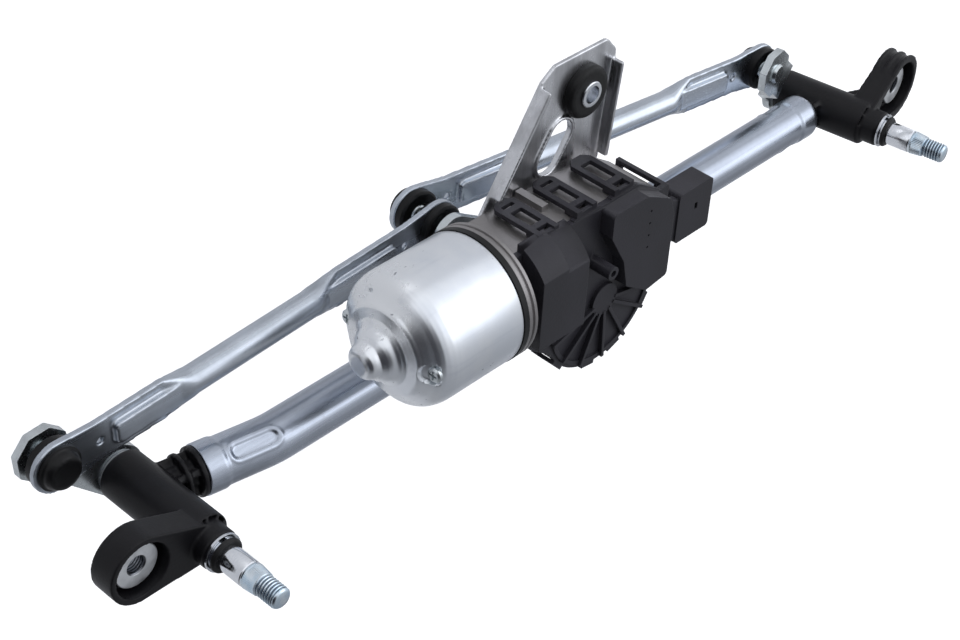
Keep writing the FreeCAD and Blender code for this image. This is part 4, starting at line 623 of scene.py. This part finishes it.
# Motor can. Deep-drawn steel, zinc plated to a bright clouded white, with a stepped nose for the
# bush. Two long screws in sunk seats pull it against the flange over a black gasket.
CAN_R = 31.0
CAN_WALL = 1.8
CAN_AXIS = (49.0, 32.0)
CAN_SCREW_R = 25.2
SCREW_SEAT_X = 24.2
SCREW_SEAT_R = 4.5
NOTCH_FLOOR_X = 22.5
NOTCH_TURNS = (62, 182, 302)
CAN_POINTS = 240
CAN_NOSE = [(0, 4.0), (4.4, 4.0), (6.0, 4.6), (7.4, 5.8), (8.2, 7.6), (8.6, 9.4), (9.6, 10.2)]
CAN_STEP = [(10.8, 11.2), (11.8, 12.6), (12.8, 14.6), (13.6, 15.4), (14.6, 15.9), (15.4, 16.6)]
CAN_FACE = [(18.2, 17.4), (20.2, 17.9), (21.2, 18.6), (22.0, 19.6), (CAN_R - 6.2, 21.6)]
CAN_SHOULDER = [(CAN_R - 5.2, 22.2), (CAN_R - 4.2, 22.8), (CAN_R - 2.9, 23.9), (CAN_R - 1.7, 25.5),
                (CAN_R - 0.8, 27.6), (CAN_R - 0.2, 30.2), (CAN_R, 33.0)]
CAN_RIM = [(CAN_R, 34.0), (CAN_R, 50.0), (CAN_R, 69.4), (CAN_R - 0.15, 69.8), (CAN_R - 0.4, 70.0),
           (CAN_R - 1.6, 70.0)]
CAN_INSIDE = [(CAN_R - CAN_WALL, 69.8), (CAN_R - CAN_WALL, 33.0), (CAN_R - CAN_WALL - 0.6, 29.6),
              (CAN_R - 3.8, 26.2), (CAN_R - 6.2, 24.4), (21.0, 20.6), (14.4, 18.4), (11.0, 17.4),
              (6.5, 15.2), (6.5, 8.0), (0.0, 8.0)]


def can_mesh():
    """Drawn can x(r, a): the smoothed profile, pushed in to the seats of both screws and three notches.

    The profile is resampled every 0.3 mm and averaged with weights exp(-(d / 0.5)^2)."""
    corner = np.array(CAN_NOSE + CAN_STEP + CAN_FACE + CAN_SHOULDER, float)
    reach = np.concatenate([[0], np.cumsum(np.hypot(*np.diff(corner, axis=0).T))])
    steps = np.arange(0, reach[-1], 0.3)
    fine = np.stack([np.interp(steps, reach, corner[:, k]) for k in (0, 1)], -1)
    weight = np.exp(-((steps[:, None] - steps[None, :]) / 0.5) ** 2)
    soft = weight @ fine / weight.sum(1)[:, None]
    soft[0] = CAN_NOSE[0]
    soft[:, 0] = np.where(steps < 1.0, fine[:, 0], soft[:, 0])
    angle = np.arange(CAN_POINTS) * 2 * math.pi / CAN_POINTS
    r = np.repeat(soft[:, :1], CAN_POINTS, 1)
    x = np.repeat(soft[:, 1:], CAN_POINTS, 1)
    y, z = r * np.cos(angle), r * np.sin(angle)
    for side in (1, -1):
        away = np.hypot(y, z - side * CAN_SCREW_R)
        x = x + (np.maximum(x, SCREW_SEAT_X) - x) * smooth(-away, -SCREW_SEAT_R - 0.8, -SCREW_SEAT_R)
    for turn in NOTCH_TURNS:
        toward_y, toward_z = math.sin(math.radians(turn)), -math.cos(math.radians(turn))
        out, beside = y * toward_y + z * toward_z, np.abs(y * toward_z - z * toward_y)
        inside = smooth(-beside, -1.7, -1.3) * smooth(out, 24.3, 24.7) * smooth(-out, -27.2, -26.8)
        x = x + (np.maximum(x, NOTCH_FLOOR_X) - x) * inside
    rest = np.array(CAN_RIM + CAN_INSIDE)
    r = np.concatenate([r, np.repeat(rest[:, :1], CAN_POINTS, 1)])
    x = np.concatenate([x, np.repeat(rest[:, 1:], CAN_POINTS, 1)])
    y, z = CAN_AXIS[0] + r * np.cos(angle), CAN_AXIS[1] + r * np.sin(angle)
    return woven("motor_can", np.stack([x, y, z], -1))


def can_plating():
    """Bright zinc: pale clouds, wiping marks along the can, a few small dull nicks and scratches."""
    material, shader, place = new_finish("can_zinc")
    clouds = place.noise(36.0, 6.0, (1.0, 0.6, 0.6))
    wipes = place.noise(420.0, 3.0, (0.05, 0.5, 0.5))
    nicks = place.noise(230.0, 3.0, (1.0, 2.2, 2.2)).steps(0.70, 0.73)
    nicks = nicks * place.noise(30.0, 2.0).steps(0.50, 0.56)
    shade = clouds.steps(0.3, 0.72).blend((0.80, 0.84, 0.90, 1), (0.96, 0.98, 1.0, 1))
    shade = (wipes.steps(0.55, 0.75) * 0.25).blend(shade, (0.62, 0.66, 0.73, 1))
    shade = (nicks * 0.7).blend(shade, (0.25, 0.26, 0.29, 1))
    height = clouds * 1.2 + wipes * 0.25 - nicks * 0.7
    drive(place, shader, Base_Color=shade, Metallic=1.0, Normal=relief(place, height, 0.18, 0.0002),
          Roughness=clouds.steps(0.3, 0.7, 0.32, 0.22) + wipes * 0.08 + nicks * 0.2)
    return material


stand_in("motor_can", can_mesh(), "frame", can_plating())
dressed("can_gasket", "frame", black_rubber)
dressed("can_screws", "frame", plate_zinc)

# Inside the motor. Ferrite magnets, a laminated core wound with copper, a commutator, carbon
# brushes in their holder, and sintered bushes and a bearing for the worm shaft.
ferrite = moulded("ferrite", (0.05, 0.05, 0.052, 1), rough=0.6)
dressed("magnets", "frame", ferrite)
dressed("brush_holder", "frame", black_socket)
carbon = moulded("carbon", (0.03, 0.03, 0.03, 1), rough=0.5)
dressed("carbon_brushes", "frame", carbon)
bronze = cast("sintered_bronze", (0.45, 0.33, 0.20, 1), rough=0.42)
for name in ("output_bush", "nose_bush", "worm_end_bush"):
    dressed(name, "frame", bronze)
dressed("worm_bearing", "frame", bright_steel)
dressed("armature_shaft", "armature", bright_steel)
core_steel = zinc("core_steel", (0.35, 0.35, 0.37, 1), rough=0.45, lines=(2.5, 0.04, 0.04))
dressed("armature_core", "armature", core_steel)
copper = zinc("copper", (0.80, 0.42, 0.24, 1), rough=0.3, lines=(0.7, 0.7, 0.7))
dressed("armature_windings", "armature", copper)
dressed("commutator", "armature", copper)

# Worm wheel. Moulded in uncoloured acetal, with 48 teeth on a dished rim and eight spokes; it is
# pressed on the output shaft and turns with the crank.
natural_plastic = moulded("natural_plastic", (0.62, 0.59, 0.50, 1), rough=0.38)
dressed("worm_wheel", "crank", natural_plastic)

# Gear cover. Black nylon, a little paler than the pivots, moulded in one piece with the brush
# housing, the electronics dome, snap clips and the connector; the board and its pins lie behind it.
cover_nylon = moulded("cover_nylon", (0.0245, 0.0237, 0.0290, 1), rough=0.40)
dressed("gear_cover", "frame", cover_nylon, sharp=20)
green_board = moulded("green_board", (0.02, 0.11, 0.05, 1), rough=0.35)
dressed("circuit_board", "frame", green_board)
dressed("connector_pins", "frame", copper)
